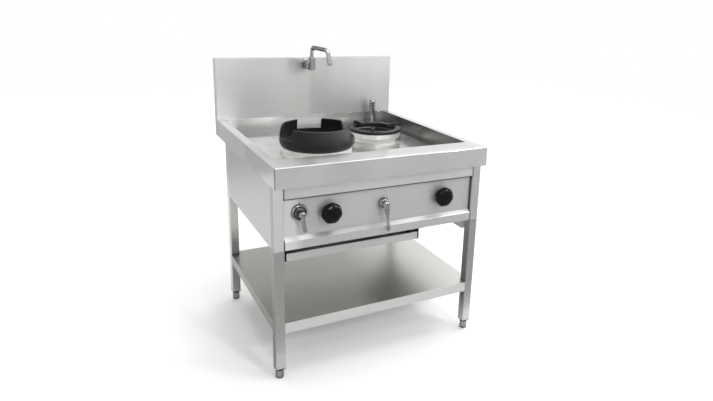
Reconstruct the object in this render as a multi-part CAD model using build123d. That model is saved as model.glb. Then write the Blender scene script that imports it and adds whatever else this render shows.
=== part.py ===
from build123d import *
from dataclasses import dataclass
from math import copysign, cos, radians, sin
import os

# Free-standing gas wok range of folded stainless sheet, with a sunk rinse deck, two burners, a deck-rinse
# pipe, a swing tap on the backsplash, a drip tray and an undershelf.
# Millimetres. +Z is up, the controls face -Y, and the origin is on the floor under the middle of the deck.

# ---------------------------------------------------------------- overall sizes
deck_width = 900.0
deck_depth = 930.0
work_height = 850.0
backsplash_rise = 283.0
backsplash_thickness = 50.0

# ---------------------------------------------------------------- sheet metal
deck_sheet = 2.0
panel_sheet = 1.5
panel_flange = 20.0

# ---------------------------------------------------------------- deck
skirt_height = 77.5
skirt_hem = 14.0
rim_radius = 2.5
front_rim = 110.0
side_rim = 34.0
well_depth = 70.0
gutter_width = 110.0
gutter_drop = 40.0
coaming_height = 15.0
coaming_flare = 9.0

# ---------------------------------------------------------------- stand
leg_size = 38.0
leg_wall = 1.5
leg_corner = 3.0
leg_inset_side = 3.0
leg_inset_front = 31.0
leg_inset_rear = 177.0
leg_floor_gap = 44.0
cap_flange = 3.0
cap_plug = 20.0
cap_plug_clearance = 0.1
foot_radius = 15.5
foot_edge = 4.5
foot_cap_gap = 0.3
foot_spindle_radius = 5.0
foot_spindle_length = 40.0
shelf_top = 233.5
shelf_flange = 42.0
shelf_recess = 2.0

# ---------------------------------------------------------------- body and front
rail_drop = 129.0
panel_gap = 3.0
panel_height = 145.0
ledge_drop = 12.0
lip_height = 33.0
panel_setback = 16.0
panel_recess = 1.0
duct_drop = 59.5
duct_front_gap = 18.5
duct_hole_gap = 3.0
pipe_hole_gap = 1.0
burner_rail_width = 40.0
burner_rail_height = 30.0

# ---------------------------------------------------------------- drip tray
tray_width = 551.0
tray_depth = 604.0
tray_height = 30.0
tray_side_gap = 8.0
tray_drop = 13.5
runner_gap = 6.5
runner_ledge = 18.0
runner_flange = 30.0

# ---------------------------------------------------------------- burners
left_burner_inset = 307.0
left_burner_setback = 397.0
left_collar_radius = 147.0
left_head_radius = 60.0
right_burner_inset = 226.0
right_burner_back_gap = 337.0
right_collar_radius = 123.0
right_head_radius = 48.0
collar_height = 21.0
collar_wall = 3.0
collar_ledge = 12.0
collar_ledge_drop = 16.0
bowl_gap = 1.0
bowl_wall = 2.0
bowl_depth = 76.0
bowl_lip = 6.0
head_lift = 2.0
head_foot_length = 34.0
mixing_drop = 32.0
head_height = 34.0
head_neck_radius = 24.0
head_passage = 15.0
head_socket_reach = 45.0
head_socket_radius = 21.0
head_rise_radius = 17.0
head_foot_radius = 16.0
head_taper_width = 14.0
head_taper_height = 10.0
head_rim = 12.0
cap_height = 14.0
cap_spigot = 8.0
cap_clearance = 0.5
cap_floor_gap = 1.0
cap_wall = 4.5
cap_bevel_width = 8.0
cap_bevel_height = 5.0
cap_port_rise = 4.0
cap_ports = 24
cap_port_radius = 1.6
mixing_tube_length = 180.0
mixing_throat_start = 108.0
mixing_throat_end = 135.0
mixing_throat_radius = 17.0
mixing_bell_radius = 26.0
mixing_wall = 3.0
injector_radius = 8.0
injector_length = 24.0
injector_gap = 10.0
injector_jet_radius = 3.0
burner_pipe_radius = 6.0
burner_pipe_bend = 9.0
pilot_offset_x = 30.0
pilot_offset_y = 68.0
pilot_radius = 5.0
pilot_height = 38.0
pilot_pipe_radius = 3.0
pilot_pipe_bend = 5.0
probe_radius = 3.0
probe_lead_radius = 1.5
pilot_drop = 10.0
pilot_run_drop = 9.0
pilot_port_side = 11.0
pilot_port_back = 41.5
probe_run_drop = 3.5
thermal_port_side = 12.0
thermal_port_back = 24.0
main_port_back = 26.5
probe_lead_bend = 4.0
probe_rise = 4.0
pilot_bracket = 3.0
bracket_rise = 4.0

# ---------------------------------------------------------------- wok ring and pan support
ring_foot_radius = 146.0
ring_bulge_radius = 158.0
ring_bulge_height = 23.0
ring_foot_flare = 9.0
ring_foot_flare_height = 10.0
ring_shoulder_radius = 155.5
ring_shoulder_height = 55.0
ring_top_radius = 148.0
ring_height = 88.0
ring_wall = 8.0
ring_seat_radius = 118.0
ring_seat_thickness = 7.0
ring_spigot_gap = 1.0
ring_spigot_wall = 6.0
ring_spigot_depth = 8.0
ring_notch_height = 44.0
back_notch_start = 62.0
back_notch_end = 105.5
left_notch_start = 170.0
left_notch_end = 208.6
right_notch_start = 314.0
right_notch_end = 382.0
support_radius = 126.0
support_bore = 97.0
support_height = 16.0
support_rounding = 5.0
finger_first_angle = 239.0
finger_count = 3
finger_width = 10.0
finger_reach = 62.0
finger_peak_radius = 112.0
finger_peak_rise = 17.0
finger_tip_rise = 5.0
finger_tip_depth = 9.0
finger_root_rise = 4.0
finger_root_inset = 5.0
finger_shoulder_drop = 4.0
support_foot_inset = 2.0
support_foot_bevel = 3.0

# ---------------------------------------------------------------- gas controls
left_knob_inset = 221.0
right_knob_inset = 185.0
knob_rise = 78.0
knob_panel_gap = 5.0
knob_skirt_radius = 38.0
knob_skirt_height = 5.0
knob_neck_radius = 31.0
knob_grip_radius = 40.5
knob_grip_start = 13.0
knob_depth = 41.0
knob_crown = 6.0
knob_lobes = 7
knob_scallop_radius = 11.0
knob_scallop_bite = 3.5
knob_waist_band = 2.0
knob_edge_width = 4.0
knob_edge_height = 5.0
knob_dome_radius = 20.0
knob_bore_end = 4.0
stem_radius = 4.0
stem_reach = 32.0
stem_depth = 22.0
stem_end_gap = 1.0
running_clearance = 0.05
stem_hole_gap = 2.0
valve_width = 36.0
valve_depth = 50.0
valve_height = 38.0
valve_nipple_radius = 8.0
manifold_radius = 13.45
manifold_wall = 2.3
manifold_behind_panel = 76.5
manifold_end = 31.0

# ---------------------------------------------------------------- gas supply
gas_pipe_radius = 13.45
gas_pipe_wall = 2.3
gas_bend_radius = 24.0
gas_inlet_inset = 75.0
gas_inlet_reach = 52.0
gas_inlet_drop = 30.0
gas_turn_ahead = 78.0
gas_union_inset = 65.0
gas_thread_radius = 13.22
gas_thread_length = 20.0
inlet_tab_width = 56.0
inlet_tab_drop = 52.0

# ---------------------------------------------------------------- water controls and supply
rinse_lever_inset = 104.0
rinse_lever_rise = 90.0
rinse_lever_length = 68.0
rinse_lever_radius = 7.5
rinse_lever_tilt = 9.3
rinse_hub_radius = 13.0
rinse_hub_bevel = 2.0
rinse_hub_bevel_height = 4.0
rinse_hub_edge = 3.0
rinse_lever_edge = 2.5
rinse_rod_setback = 2.0
tap_lever_x = -5.0
tap_lever_rise = 83.0
tap_lever_length = 110.0
tap_lever_tilt = 6.8
tap_lever_thickness = 8.0
tap_lever_head_width = 25.0
tap_lever_waist_width = 13.0
tap_lever_end_radius = 10.5
tap_lever_head_start = 8.0
tap_lever_head_end = 36.0
tap_lever_waist_start = 54.0
tap_lever_end_taper = 14.0
tap_lever_hole_drop = 30.0
tap_lever_hole_radius = 2.5
tap_hub_radius = 15.0
tap_hub_bevel = 2.0
tap_hub_bevel_height = 3.0
tap_hub_edge = 4.0
lever_reach = 34.0
lever_hub_shoulder = 3.0
lever_hub_front = 6.0
lever_gap = 0.5
escutcheon_radius = 31.5
escutcheon_height = 9.0
escutcheon_edge = 4.0
escutcheon_slope = 3.0
escutcheon_crest = 4.0
escutcheon_dish = 4.0
escutcheon_nose_wall = 4.0
escutcheon_nose_foot = 2.0
trim_drop = 0.5
boss_radius = 19.0
boss_height = 20.0
boss_foot_width = 2.0
boss_foot_edge = 3.0
boss_foot_height = 5.0
boss_edge = 3.0
spindle_radius = 5.0
spindle_grip = 18.0
spindle_end_gap = 1.0
valve_nose_wall = 3.0
water_valve_radius = 16.0
water_valve_depth = 44.0
water_port_radius = 9.0
water_port_reach = 20.0
water_pipe_radius = 7.5
water_bend_radius = 20.0
water_run_drop = 66.0
water_inlet_inset = 75.0
water_inlet_radius = 10.48
water_inlet_reach = 22.0
water_inlet_flange = 16.0
water_inlet_flange_thickness = 5.0
rinse_run_drop = 38.0
rinse_run_ahead = 38.0
rinse_feed_bend = 12.0
tap_run_drop = 13.0
tap_run_x = 50.0
outlet_behind_panel = 34.0
inlet_behind_panel = 14.0

# ---------------------------------------------------------------- rinse pipe and drain in the gutter
rinse_pipe_inset = 121.0
rinse_pipe_gap = 49.0
rinse_pipe_radius = 16.0
rinse_pipe_wall = 2.0
rinse_pipe_rise = 67.0
rinse_pipe_below = 20.0
rinse_slit = 3.0
rinse_slit_drop = 17.0
rinse_cap_radius = 17.0
rinse_neck_radius = 7.0
rinse_plug_length = 10.0
rinse_cap_edge = 3.0
drain_inset = 120.0
drain_gap = 55.0
drain_flange_radius = 38.0
drain_flange_thickness = 2.0
drain_cup_radius = 30.0
drain_cup_depth = 40.0
drain_tail_radius = 24.0
drain_tail_length = 45.0
drain_wall = 2.5
strainer_gap = 1.0
strainer_depth = 26.0
strainer_wall = 1.5
strainer_rim = 5.0
strainer_holes = 12
strainer_hole_radius = 3.0
strainer_outer_row = 0.72
strainer_inner_row = 0.4

# ---------------------------------------------------------------- tap on the backsplash
tap_x = -20.0
tap_axis_drop = 29.0
tap_flange_radius = 27.0
tap_flange_thickness = 8.0
tap_flange_edge = 3.0
tap_flange_bevel = 4.0
tap_body_radius = 23.0
tap_body_reach = 98.0
tap_body_bevel = 3.0
tap_body_start = 7.0
tap_body_nose = 22.0
tap_body_nose_end = 14.0
tap_body_nose_bevel = 6.0
tap_body_end = 10.0
tap_column_radius = 14.5
tap_column_below = 18.0
tap_column_rise = 32.0
tap_column_edge = 3.0
tap_nut_radius = 15.5
tap_nut_height = 11.0
tap_nut_edge = 2.0
tap_shank_radius = 10.5
tap_elbow_size = 26.0
tap_elbow_front = 6.5
tap_elbow_back = 10.5
spout_radius = 9.75
spout_wall = 1.25
spout_engagement = 30.0
spout_end_gap = 2.0
spout_rise = 56.0
spout_reach = 203.0
spout_corner_reach = 178.0
spout_drop = 62.0
spout_rear_bend = 24.0
spout_front_bend = 38.0
spout_turn = 2.0

# ---------------------------------------------------------------- fasteners
screw_head_radius = 4.0
screw_head_height = 2.2
screw_shank_radius = 2.0
screw_length = 6.0
screw_hole_gap = 0.2
screw_inset = 12.0
cover_recess = 2.5
screw_columns = 3

# ---------------------------------------------------------------- drawing values
wedge_step = 30.0
route_tolerance = 0.01
straight_tolerance = 0.0001

# ---------------------------------------------------------------- planes that follow from the sizes
deck_left = -deck_width / 2
deck_right = deck_width / 2
deck_front = -deck_depth / 2
deck_back = deck_depth / 2
deck_under = work_height - deck_sheet
skirt_bottom = work_height - skirt_height
well_half = deck_width / 2 - side_rim
well_front = deck_front + front_rim
well_back = deck_back - backsplash_thickness
well_floor = work_height - well_depth
well_under = well_floor - deck_sheet
gutter_front = well_back - gutter_width
gutter_floor = well_floor - gutter_drop
frame_front = deck_front + leg_inset_front
frame_back = deck_back - leg_inset_rear
leg_x = deck_width / 2 - leg_inset_side - leg_size / 2
leg_front_y = frame_front + leg_size / 2
leg_rear_y = frame_back - leg_size / 2
bay_half = leg_x - leg_size / 2
bay_front = leg_front_y + leg_size / 2
bay_back = leg_rear_y - leg_size / 2
panel_outer = deck_width / 2 - leg_inset_side - panel_recess
panel_inner = panel_outer - panel_sheet
rail_bottom = work_height - rail_drop
control_top = rail_bottom - panel_gap
control_bottom = control_top - panel_height
lip_top = control_bottom - ledge_drop
body_bottom = lip_top - lip_height
panel_face = frame_front + panel_setback
panel_rear = panel_face + panel_sheet
collar_bottom = well_floor + coaming_height
collar_top = collar_bottom + collar_height
collar_shelf = collar_top - collar_ledge_drop
bowl_bottom = collar_shelf + bowl_wall - bowl_depth
head_bottom = bowl_bottom + head_lift
mixing_axis = bowl_bottom - mixing_drop
burner_rail_top = mixing_axis - head_foot_length
manifold_y = panel_rear + manifold_behind_panel
knob_z = control_bottom + knob_rise
rinse_lever_z = control_bottom + rinse_lever_rise
tap_lever_z = control_bottom + tap_lever_rise
runner_top = body_bottom
tray_top = body_bottom - tray_drop
tray_bottom = tray_top - tray_height
tray_left = -bay_half + tray_side_gap
tray_right = tray_left + tray_width
duct_bottom = body_bottom - duct_drop
duct_front = bay_front + duct_front_gap
gas_inlet_z = body_bottom - gas_inlet_drop
duct_middle = (bay_half + panel_outer) / 2
spindle_hole_radius = spindle_radius + valve_nose_wall
left_burner_x = deck_left + left_burner_inset
left_burner_y = deck_front + left_burner_setback
right_burner_x = deck_right - right_burner_inset
right_burner_y = deck_back - right_burner_back_gap
left_knob_x = deck_left + left_knob_inset
right_knob_x = deck_right - right_knob_inset
rinse_lever_x = deck_left + rinse_lever_inset
gas_inlet_x = deck_right - gas_inlet_inset
gas_union_x = deck_right - gas_union_inset
gas_turn_y = frame_back - gas_turn_ahead
water_inlet_x = deck_left + water_inlet_inset
water_run_height = tap_lever_z - water_run_drop
rinse_run_height = gutter_floor - rinse_run_drop
rinse_run_y = frame_back - rinse_run_ahead
tap_run_height = gutter_floor - tap_run_drop
rinse_pipe_x = deck_right - rinse_pipe_inset
rinse_pipe_y = well_back - rinse_pipe_gap
drain_x = deck_left + drain_inset
drain_y = well_back - drain_gap
backsplash_top = work_height + backsplash_rise
tap_axis_height = backsplash_top - tap_axis_drop
tap_column_top = tap_axis_height + tap_column_rise
spout_height = tap_column_top + spout_rise
cover_face = deck_back - cover_recess
cover_seat = cover_face - panel_sheet


@dataclass(frozen=True)
class Burner:
    """Place and own sizes of one burner."""
    side: str
    x: float
    y: float
    collar_radius: float
    head_radius: float
    knob_x: float


left_burner = Burner("left", left_burner_x, left_burner_y, left_collar_radius, left_head_radius, left_knob_x)
right_burner = Burner("right", right_burner_x, right_burner_y, right_collar_radius, right_head_radius,
                      right_knob_x)
burners = (left_burner, right_burner)


# ---------------------------------------------------------------- shape helpers
def block(x0, x1, y0, y1, z0, z1):
    """Box between two opposite corners, given in any order."""
    size = Box(abs(x1 - x0), abs(y1 - y0), abs(z1 - z0))
    return Pos((x0 + x1) / 2, (y0 + y1) / 2, (z0 + z1) / 2) * size


def upright(x, y, z0, z1, radius):
    """Vertical cylinder from z0 to z1."""
    return Pos(x, y, (z0 + z1) / 2) * Cylinder(radius, abs(z1 - z0))


def lengthwise(x, z, y0, y1, radius):
    """Cylinder along Y from y0 to y1."""
    return Pos(x, (y0 + y1) / 2, z) * Rot(90, 0, 0) * Cylinder(radius, abs(y1 - y0))


def crosswise(y, z, x0, x1, radius):
    """Cylinder along X from x0 to x1."""
    return Pos((x0 + x1) / 2, y, z) * Rot(0, 90, 0) * Cylinder(radius, abs(x1 - x0))


def turned(x, y, outline):
    """Body turned about the upright line through x, y. The outline is a closed list of (radius, z)."""
    section = Plane.XZ * make_face(Polyline(*outline, close=True))
    return Pos(x, y, 0) * revolve(section, Axis.Z)


def turned_forward(x, z, outline):
    """Body turned about the line through x, z that points out of the control panel.

    The outline is a closed list of (radius, distance in front of the panel's face).
    """
    section = Plane.XZ * make_face(Polyline(*outline, close=True))
    return Pos(x, panel_face, z) * Rot(90, 0, 0) * revolve(section, Axis.Z)


def folded_outline(points, thickness):
    """Closed outline of a sheet folded along points, with its thickness laid on the left of their direction."""
    directions = []
    for (ax, ay), (bx, by) in zip(points, points[1:]):
        length = ((bx - ax) ** 2 + (by - ay) ** 2) ** 0.5
        directions.append(((bx - ax) / length, (by - ay) / length))
    inner = []
    for index, (px, py) in enumerate(points):
        before = directions[max(index - 1, 0)]
        after = directions[min(index, len(directions) - 1)]
        nx = -before[1] - after[1]
        ny = before[0] + after[0]
        scale = thickness / (1 + before[0] * after[0] + before[1] * after[1])
        inner.append((px + nx * scale, py + ny * scale))
    return list(points) + inner[::-1]


def folded_across(points, thickness, x0, x1):
    """Sheet folded along (y, z) points and running across the range from x0 to x1."""
    section = Plane.YZ * make_face(Polyline(*folded_outline(points, thickness), close=True))
    return Pos(x0, 0, 0) * extrude(section, x1 - x0, dir=(1, 0, 0))


def without_straight_points(points):
    """The corner points of a route, without doubled points and points on a straight run."""
    kept = []
    for point in (Vector(*p) for p in points):
        if kept and (point - kept[-1]).length < route_tolerance:
            continue
        if len(kept) > 1:
            before = (kept[-1] - kept[-2]).normalized()
            after = (point - kept[-1]).normalized()
            if (before - after).length < straight_tolerance:
                kept.pop()
        kept.append(point)
    return kept


def pipe(points, radius, bend, wall=0.0):
    """Pipe along a route of straight runs with bends of one radius, or a list of radii. No wall makes it solid."""
    corners = without_straight_points(points)
    if len(corners) > 2:
        path = FilletPolyline(*corners, radius=bend)
    else:
        path = Line(*corners)
    start = Plane(origin=path @ 0, z_dir=path % 0)
    tube = sweep(start * Circle(radius), path=path)
    if wall:
        tube -= sweep(start * Circle(radius - wall), path=path)
    return tube


def wedge(x, y, start, end, z0, z1, radius):
    """Sector of a disc between two angles in degrees, from z0 to z1."""
    steps = round((end - start) / wedge_step) + 2
    angles = [start + (end - start) * step / (steps - 1) for step in range(steps)]
    rim = [(radius * cos(radians(a)), radius * sin(radians(a))) for a in angles]
    face = make_face(Polyline((0, 0), *rim, close=True))
    return Pos(x, y, z0) * extrude(face, z1 - z0, dir=(0, 0, 1))


def group(parts):
    """Several solids that share one node."""
    return Compound(children=[part.solid() for part in parts])


# ---------------------------------------------------------------- stand
def make_leg(x, y, top):
    """Square tube with rounded corners, open at both ends."""
    half = leg_size / 2
    outer = block(x - half, x + half, y - half, y + half, leg_floor_gap, top)
    outer = fillet(outer.edges().filter_by(Axis.Z), leg_corner)
    bore = half - leg_wall
    return outer - block(x - bore, x + bore, y - bore, y + bore, leg_floor_gap, top)


def make_leg_cap(x, y):
    """Plastic cap under a leg: a flange, and a plug in the tube that guides the foot's spindle."""
    half = leg_size / 2
    plug = half - leg_wall - cap_plug_clearance
    bottom = leg_floor_gap - cap_flange
    cap = block(x - half, x + half, y - half, y + half, bottom, leg_floor_gap)
    cap = fillet(cap.edges().filter_by(Axis.Z), leg_corner)
    cap += block(x - plug, x + plug, y - plug, y + plug, leg_floor_gap, leg_floor_gap + cap_plug)
    return cap - upright(x, y, bottom, leg_floor_gap + cap_plug, foot_spindle_radius + running_clearance)


def make_foot(x, y):
    """Round levelling foot with a rounded lower edge and a spindle that screws in the cap."""
    top = leg_floor_gap - cap_flange - foot_cap_gap
    body = upright(x, y, 0, top, foot_radius)
    body = fillet(body.edges().group_by(Axis.Z)[0], foot_edge)
    return body + upright(x, y, top, top + foot_spindle_length, foot_spindle_radius)


def make_undershelf():
    """Shelf plate notched round the legs, with a flange folded down between the legs on each side."""
    outer_x = leg_x + leg_size / 2 - shelf_recess
    bottom = shelf_top - shelf_flange
    shelf = block(-outer_x, outer_x, frame_front, frame_back, bottom, shelf_top)
    shelf -= block(-outer_x + panel_sheet, outer_x - panel_sheet, frame_front + panel_sheet,
                   frame_back - panel_sheet, bottom, shelf_top - panel_sheet)
    for x in (-leg_x, leg_x):
        for y in (leg_front_y, leg_rear_y):
            half = leg_size / 2
            shelf -= block(x - half, x + half, y - half, y + half, bottom, shelf_top)
    return shelf


# ---------------------------------------------------------------- body
def make_side_panel(side):
    """Panel between the two legs of one side, with flanges along the legs and the lower edge."""
    outer = side * panel_outer
    inner = side * panel_inner
    flange = inner - side * panel_flange
    panel = block(outer, inner, bay_front, bay_back, body_bottom, deck_under)
    panel += block(outer, flange, bay_front, bay_front + panel_sheet, body_bottom, deck_under)
    panel += block(outer, flange, bay_back - panel_sheet, bay_back, body_bottom, deck_under)
    panel += block(outer, flange, bay_front, bay_back, body_bottom, body_bottom + panel_sheet)
    if side > 0:
        panel -= upright(duct_middle, manifold_y, body_bottom, body_bottom + panel_sheet,
                         gas_pipe_radius + pipe_hole_gap)
    return panel


def make_back_panel():
    """Rear panel between the legs, with the tab below it that holds the gas inlet."""
    top = well_under
    inner = frame_back - panel_sheet
    panel = block(-bay_half, bay_half, inner, frame_back, body_bottom, top)
    panel += block(-bay_half, bay_half, inner - panel_flange, inner, body_bottom, body_bottom + panel_sheet)
    for side in (-1, 1):
        edge = side * bay_half
        panel += block(edge, edge - side * panel_sheet, inner - panel_flange, inner, body_bottom, top)
    tab = inlet_tab_width / 2
    panel += block(gas_inlet_x - tab, min(gas_inlet_x + tab, bay_half), inner, frame_back,
                   body_bottom - inlet_tab_drop, body_bottom)
    panel -= lengthwise(gas_inlet_x, gas_inlet_z, inner, frame_back, gas_pipe_radius + screw_hole_gap)
    for x, z in ((rinse_pipe_x, rinse_run_height), (tap_run_x, tap_run_height)):
        panel -= lengthwise(x, z, inner, frame_back, water_pipe_radius + screw_hole_gap)
    panel -= lengthwise(water_inlet_x, water_run_height, inner, frame_back, water_pipe_radius + screw_hole_gap)
    return panel


def make_front_rail():
    """Rail under the deck's front skirt, folded back at its lower edge."""
    points = [(panel_face, rail_bottom), (frame_front, rail_bottom), (frame_front, deck_under)]
    return folded_across(points[::-1], panel_sheet, -bay_half, bay_half)


def make_control_panel():
    """Recessed panel in one sheet with its sloping ledge, lower lip and rear flanges."""
    points = [(panel_face + panel_flange, control_top), (panel_face, control_top), (panel_face, control_bottom),
              (frame_front, lip_top), (frame_front, body_bottom), (frame_front + panel_flange, body_bottom)]
    panel = folded_across(points, panel_sheet, -bay_half, bay_half)
    for burner in burners:
        panel -= lengthwise(burner.knob_x, knob_z, panel_face, panel_rear, stem_radius + stem_hole_gap)
    for x, z in ((rinse_lever_x, rinse_lever_z), (tap_lever_x, tap_lever_z)):
        panel -= lengthwise(x, z, panel_face, panel_rear, spindle_hole_radius)
    return panel


def make_pipe_duct():
    """Open-topped channel under the right side panel, between the front and rear legs."""
    duct = block(bay_half, panel_outer, duct_front, bay_back, duct_bottom, body_bottom)
    duct -= block(bay_half + panel_sheet, panel_inner, duct_front + panel_sheet, bay_back - panel_sheet,
                  duct_bottom + panel_sheet, body_bottom)
    return duct - crosswise(gas_turn_y, gas_inlet_z, bay_half, bay_half + panel_sheet,
                            gas_pipe_radius + duct_hole_gap)


def make_burner_rail(burner):
    """Inverted channel across the body that carries one burner head."""
    half = burner_rail_width / 2
    bottom = burner_rail_top - burner_rail_height
    points = [(burner.y - half, bottom), (burner.y - half, burner_rail_top),
              (burner.y + half, burner_rail_top), (burner.y + half, bottom)]
    return folded_across(points[::-1], panel_sheet, -panel_inner, panel_inner)


# ---------------------------------------------------------------- deck and backsplash
def make_deck_pan():
    """Welded deck: rim, skirt, sunk well, burner coamings and rear gutter."""
    pan = block(deck_left, deck_right, deck_front, deck_back, skirt_bottom, work_height)
    pan = fillet(pan.edges().group_by(Axis.Z)[-1] + pan.edges().filter_by(Axis.Z), rim_radius)
    pan -= block(deck_left + deck_sheet, deck_right - deck_sheet, deck_front + deck_sheet,
                 deck_back - deck_sheet, skirt_bottom, deck_under)
    hem_back = deck_front + deck_sheet + skirt_hem
    pan += block(deck_left + deck_sheet, deck_right - deck_sheet, deck_front + deck_sheet, hem_back,
                 skirt_bottom, skirt_bottom + deck_sheet)
    wall = well_half + deck_sheet
    pan += block(-wall, wall, well_front - deck_sheet, well_back + deck_sheet, well_under, work_height)
    pan += block(-wall, wall, gutter_front - deck_sheet, well_back + deck_sheet, gutter_floor - deck_sheet,
                 well_floor)
    pan -= block(-well_half, well_half, well_front, well_back, well_floor, work_height)
    pan -= block(-well_half, well_half, gutter_front, well_back, gutter_floor, well_floor)
    for burner in burners:
        foot = burner.collar_radius + coaming_flare
        pan -= upright(burner.x, burner.y, well_under, well_floor, foot)
        pan += turned(burner.x, burner.y, [
            (foot + deck_sheet, well_under), (foot + deck_sheet, well_floor), (foot, well_floor),
            (burner.collar_radius, collar_bottom), (burner.collar_radius - deck_sheet, collar_bottom),
            (foot - deck_sheet, well_under)])
    pan -= upright(rinse_pipe_x, rinse_pipe_y, gutter_floor - deck_sheet, gutter_floor,
                   rinse_pipe_radius + screw_hole_gap)
    pan -= upright(drain_x, drain_y, gutter_floor - deck_sheet, gutter_floor, drain_cup_radius + screw_hole_gap)
    pan -= upright(tap_x, feed_riser_y(), deck_under, work_height, water_pipe_radius + pipe_hole_gap)
    return pan


def feed_riser_y():
    """Distance back of the pipe that rises inside the backsplash."""
    return deck_back - backsplash_thickness / 2


def make_backsplash():
    """Hollow upstand: front, top and sides in one sheet, with a flange round the open rear."""
    top = backsplash_top
    left = deck_left + panel_sheet
    right = deck_right - panel_sheet
    shell = block(deck_left, deck_right, well_back, deck_back, work_height, top)
    shell -= block(left, right, well_back + panel_sheet, cover_seat - panel_sheet, work_height, top - panel_sheet)
    shell -= block(deck_left + panel_flange, deck_right - panel_flange, cover_seat - panel_sheet, cover_seat,
                   work_height, top - panel_flange)
    shell -= block(left, right, cover_seat, deck_back, work_height, top - panel_sheet)
    shell -= lengthwise(tap_x, tap_axis_height, well_back, well_back + panel_sheet,
                        tap_shank_radius + screw_hole_gap)
    for x, z in cover_screw_places():
        shell -= lengthwise(x, z, cover_seat - panel_sheet, cover_seat, screw_shank_radius + screw_hole_gap)
    return shell


def make_backsplash_cover():
    """Flat plate that closes the backsplash at the rear."""
    top = backsplash_top - panel_sheet
    plate = block(deck_left + panel_sheet, deck_right - panel_sheet, cover_seat, cover_face, work_height, top)
    for x, z in cover_screw_places():
        plate -= lengthwise(x, z, cover_seat, cover_face, screw_shank_radius + screw_hole_gap)
    return plate


def cover_screw_places():
    """Places (x, z) of the screws along the top of the backsplash cover."""
    z = backsplash_top - screw_inset
    reach = deck_width / 2 - screw_inset
    return [(reach * (2 * i / (screw_columns - 1) - 1), z) for i in range(screw_columns)]


def make_cover_screw(x, z):
    """Button-head screw through the cover and the flange behind it."""
    screw = lengthwise(x, z, cover_face - screw_length, cover_face, screw_shank_radius)
    return screw + lengthwise(x, z, cover_face, cover_face + screw_head_height, screw_head_radius)


# ---------------------------------------------------------------- drip tray
def make_drip_tray():
    """Open-topped pan that slides on the two runners."""
    back = frame_front + tray_depth
    tray = block(tray_left, tray_right, frame_front, back, tray_bottom, tray_top)
    return tray - block(tray_left + panel_sheet, tray_right - panel_sheet, frame_front + panel_sheet,
                        back - panel_sheet, tray_bottom + panel_sheet, tray_top)


def make_tray_runner(side):
    """Folded runner: a flange under the body, a web beside the tray and a ledge under it."""
    edge = tray_left - runner_gap if side < 0 else tray_right + runner_gap
    outward = edge + side * runner_flange
    ledge = edge - side * runner_ledge
    low = tray_bottom - panel_sheet
    front = frame_front + panel_sheet
    back = frame_back - panel_sheet
    runner = block(edge, edge + side * panel_sheet, front, back, low, runner_top)
    runner += block(edge, ledge, front, back, low, tray_bottom)
    if side > 0:
        runner += block(edge, outward, front, back, runner_top - panel_sheet, runner_top)
    return runner


# ---------------------------------------------------------------- burners
def make_collar(burner):
    """Stainless collar on the coaming, with an inner ledge for the fire bowl."""
    outer = burner.collar_radius
    inner = outer - collar_wall
    ledge = inner - collar_ledge
    return turned(burner.x, burner.y, [
        (outer, collar_bottom), (outer, collar_top), (inner, collar_top), (inner, collar_shelf),
        (ledge, collar_shelf), (ledge, collar_shelf - bowl_wall), (inner, collar_shelf - bowl_wall),
        (inner, collar_bottom)])


def make_fire_bowl(burner):
    """Open cylinder round the flame, hung by its flange on the collar's ledge."""
    flange = burner.collar_radius - collar_wall - bowl_gap
    wall = burner.collar_radius - collar_wall - collar_ledge - bowl_gap
    top = collar_shelf + bowl_wall
    return turned(burner.x, burner.y, [
        (flange, collar_shelf), (flange, top), (wall - bowl_wall, top),
        (wall - bowl_wall, bowl_bottom + bowl_wall), (wall - bowl_wall - bowl_lip, bowl_bottom + bowl_wall),
        (wall - bowl_wall - bowl_lip, bowl_bottom), (wall, bowl_bottom), (wall, collar_shelf)])


def make_burner_head(burner):
    """Cast head: crown, neck, socket for the mixing tube, and a foot on the rail, with the gas passage cast in."""
    crown = head_bottom + head_height
    head = turned(burner.x, burner.y, [
        (0, mixing_axis - head_neck_radius), (head_neck_radius, mixing_axis - head_neck_radius),
        (head_neck_radius, head_bottom), (burner.head_radius - head_taper_width, head_bottom),
        (burner.head_radius, head_bottom + head_taper_height), (burner.head_radius, crown), (0, crown)])
    head += lengthwise(burner.x, mixing_axis, burner.y - head_socket_reach, burner.y, head_socket_radius)
    head += upright(burner.x, burner.y, burner_rail_top, mixing_axis, head_foot_radius)
    head -= upright(burner.x, burner.y, mixing_axis - head_passage, crown, head_rise_radius)
    head -= upright(burner.x, burner.y, crown - cap_spigot, crown, burner.head_radius - head_rim)
    head -= lengthwise(burner.x, mixing_axis, burner.y - head_socket_reach, burner.y, head_passage)
    return head


def make_burner_cap(burner):
    """Loose crown with a ring of flame ports, located by a spigot in the head."""
    seat = head_bottom + head_height
    low = seat - cap_spigot + cap_floor_gap
    spigot = burner.head_radius - head_rim - cap_clearance
    top = seat + cap_height
    cap = turned(burner.x, burner.y, [
        (spigot, low), (spigot, seat), (burner.head_radius, seat), (burner.head_radius, top - cap_bevel_height),
        (burner.head_radius - cap_bevel_width, top), (0, top), (0, top - cap_wall),
        (spigot - cap_wall, top - cap_wall), (spigot - cap_wall, low)])
    for index in range(cap_ports):
        port = crosswise(0, seat + cap_port_rise, spigot - 2 * cap_wall, 2 * burner.head_radius, cap_port_radius)
        cap -= Pos(burner.x, burner.y, 0) * Rot(0, 0, 360 / cap_ports * index) * port
    return cap


def mixing_tube_end(burner):
    """Distance back of the open bell of one mixing tube."""
    return burner.y - head_socket_reach - mixing_tube_length


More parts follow.
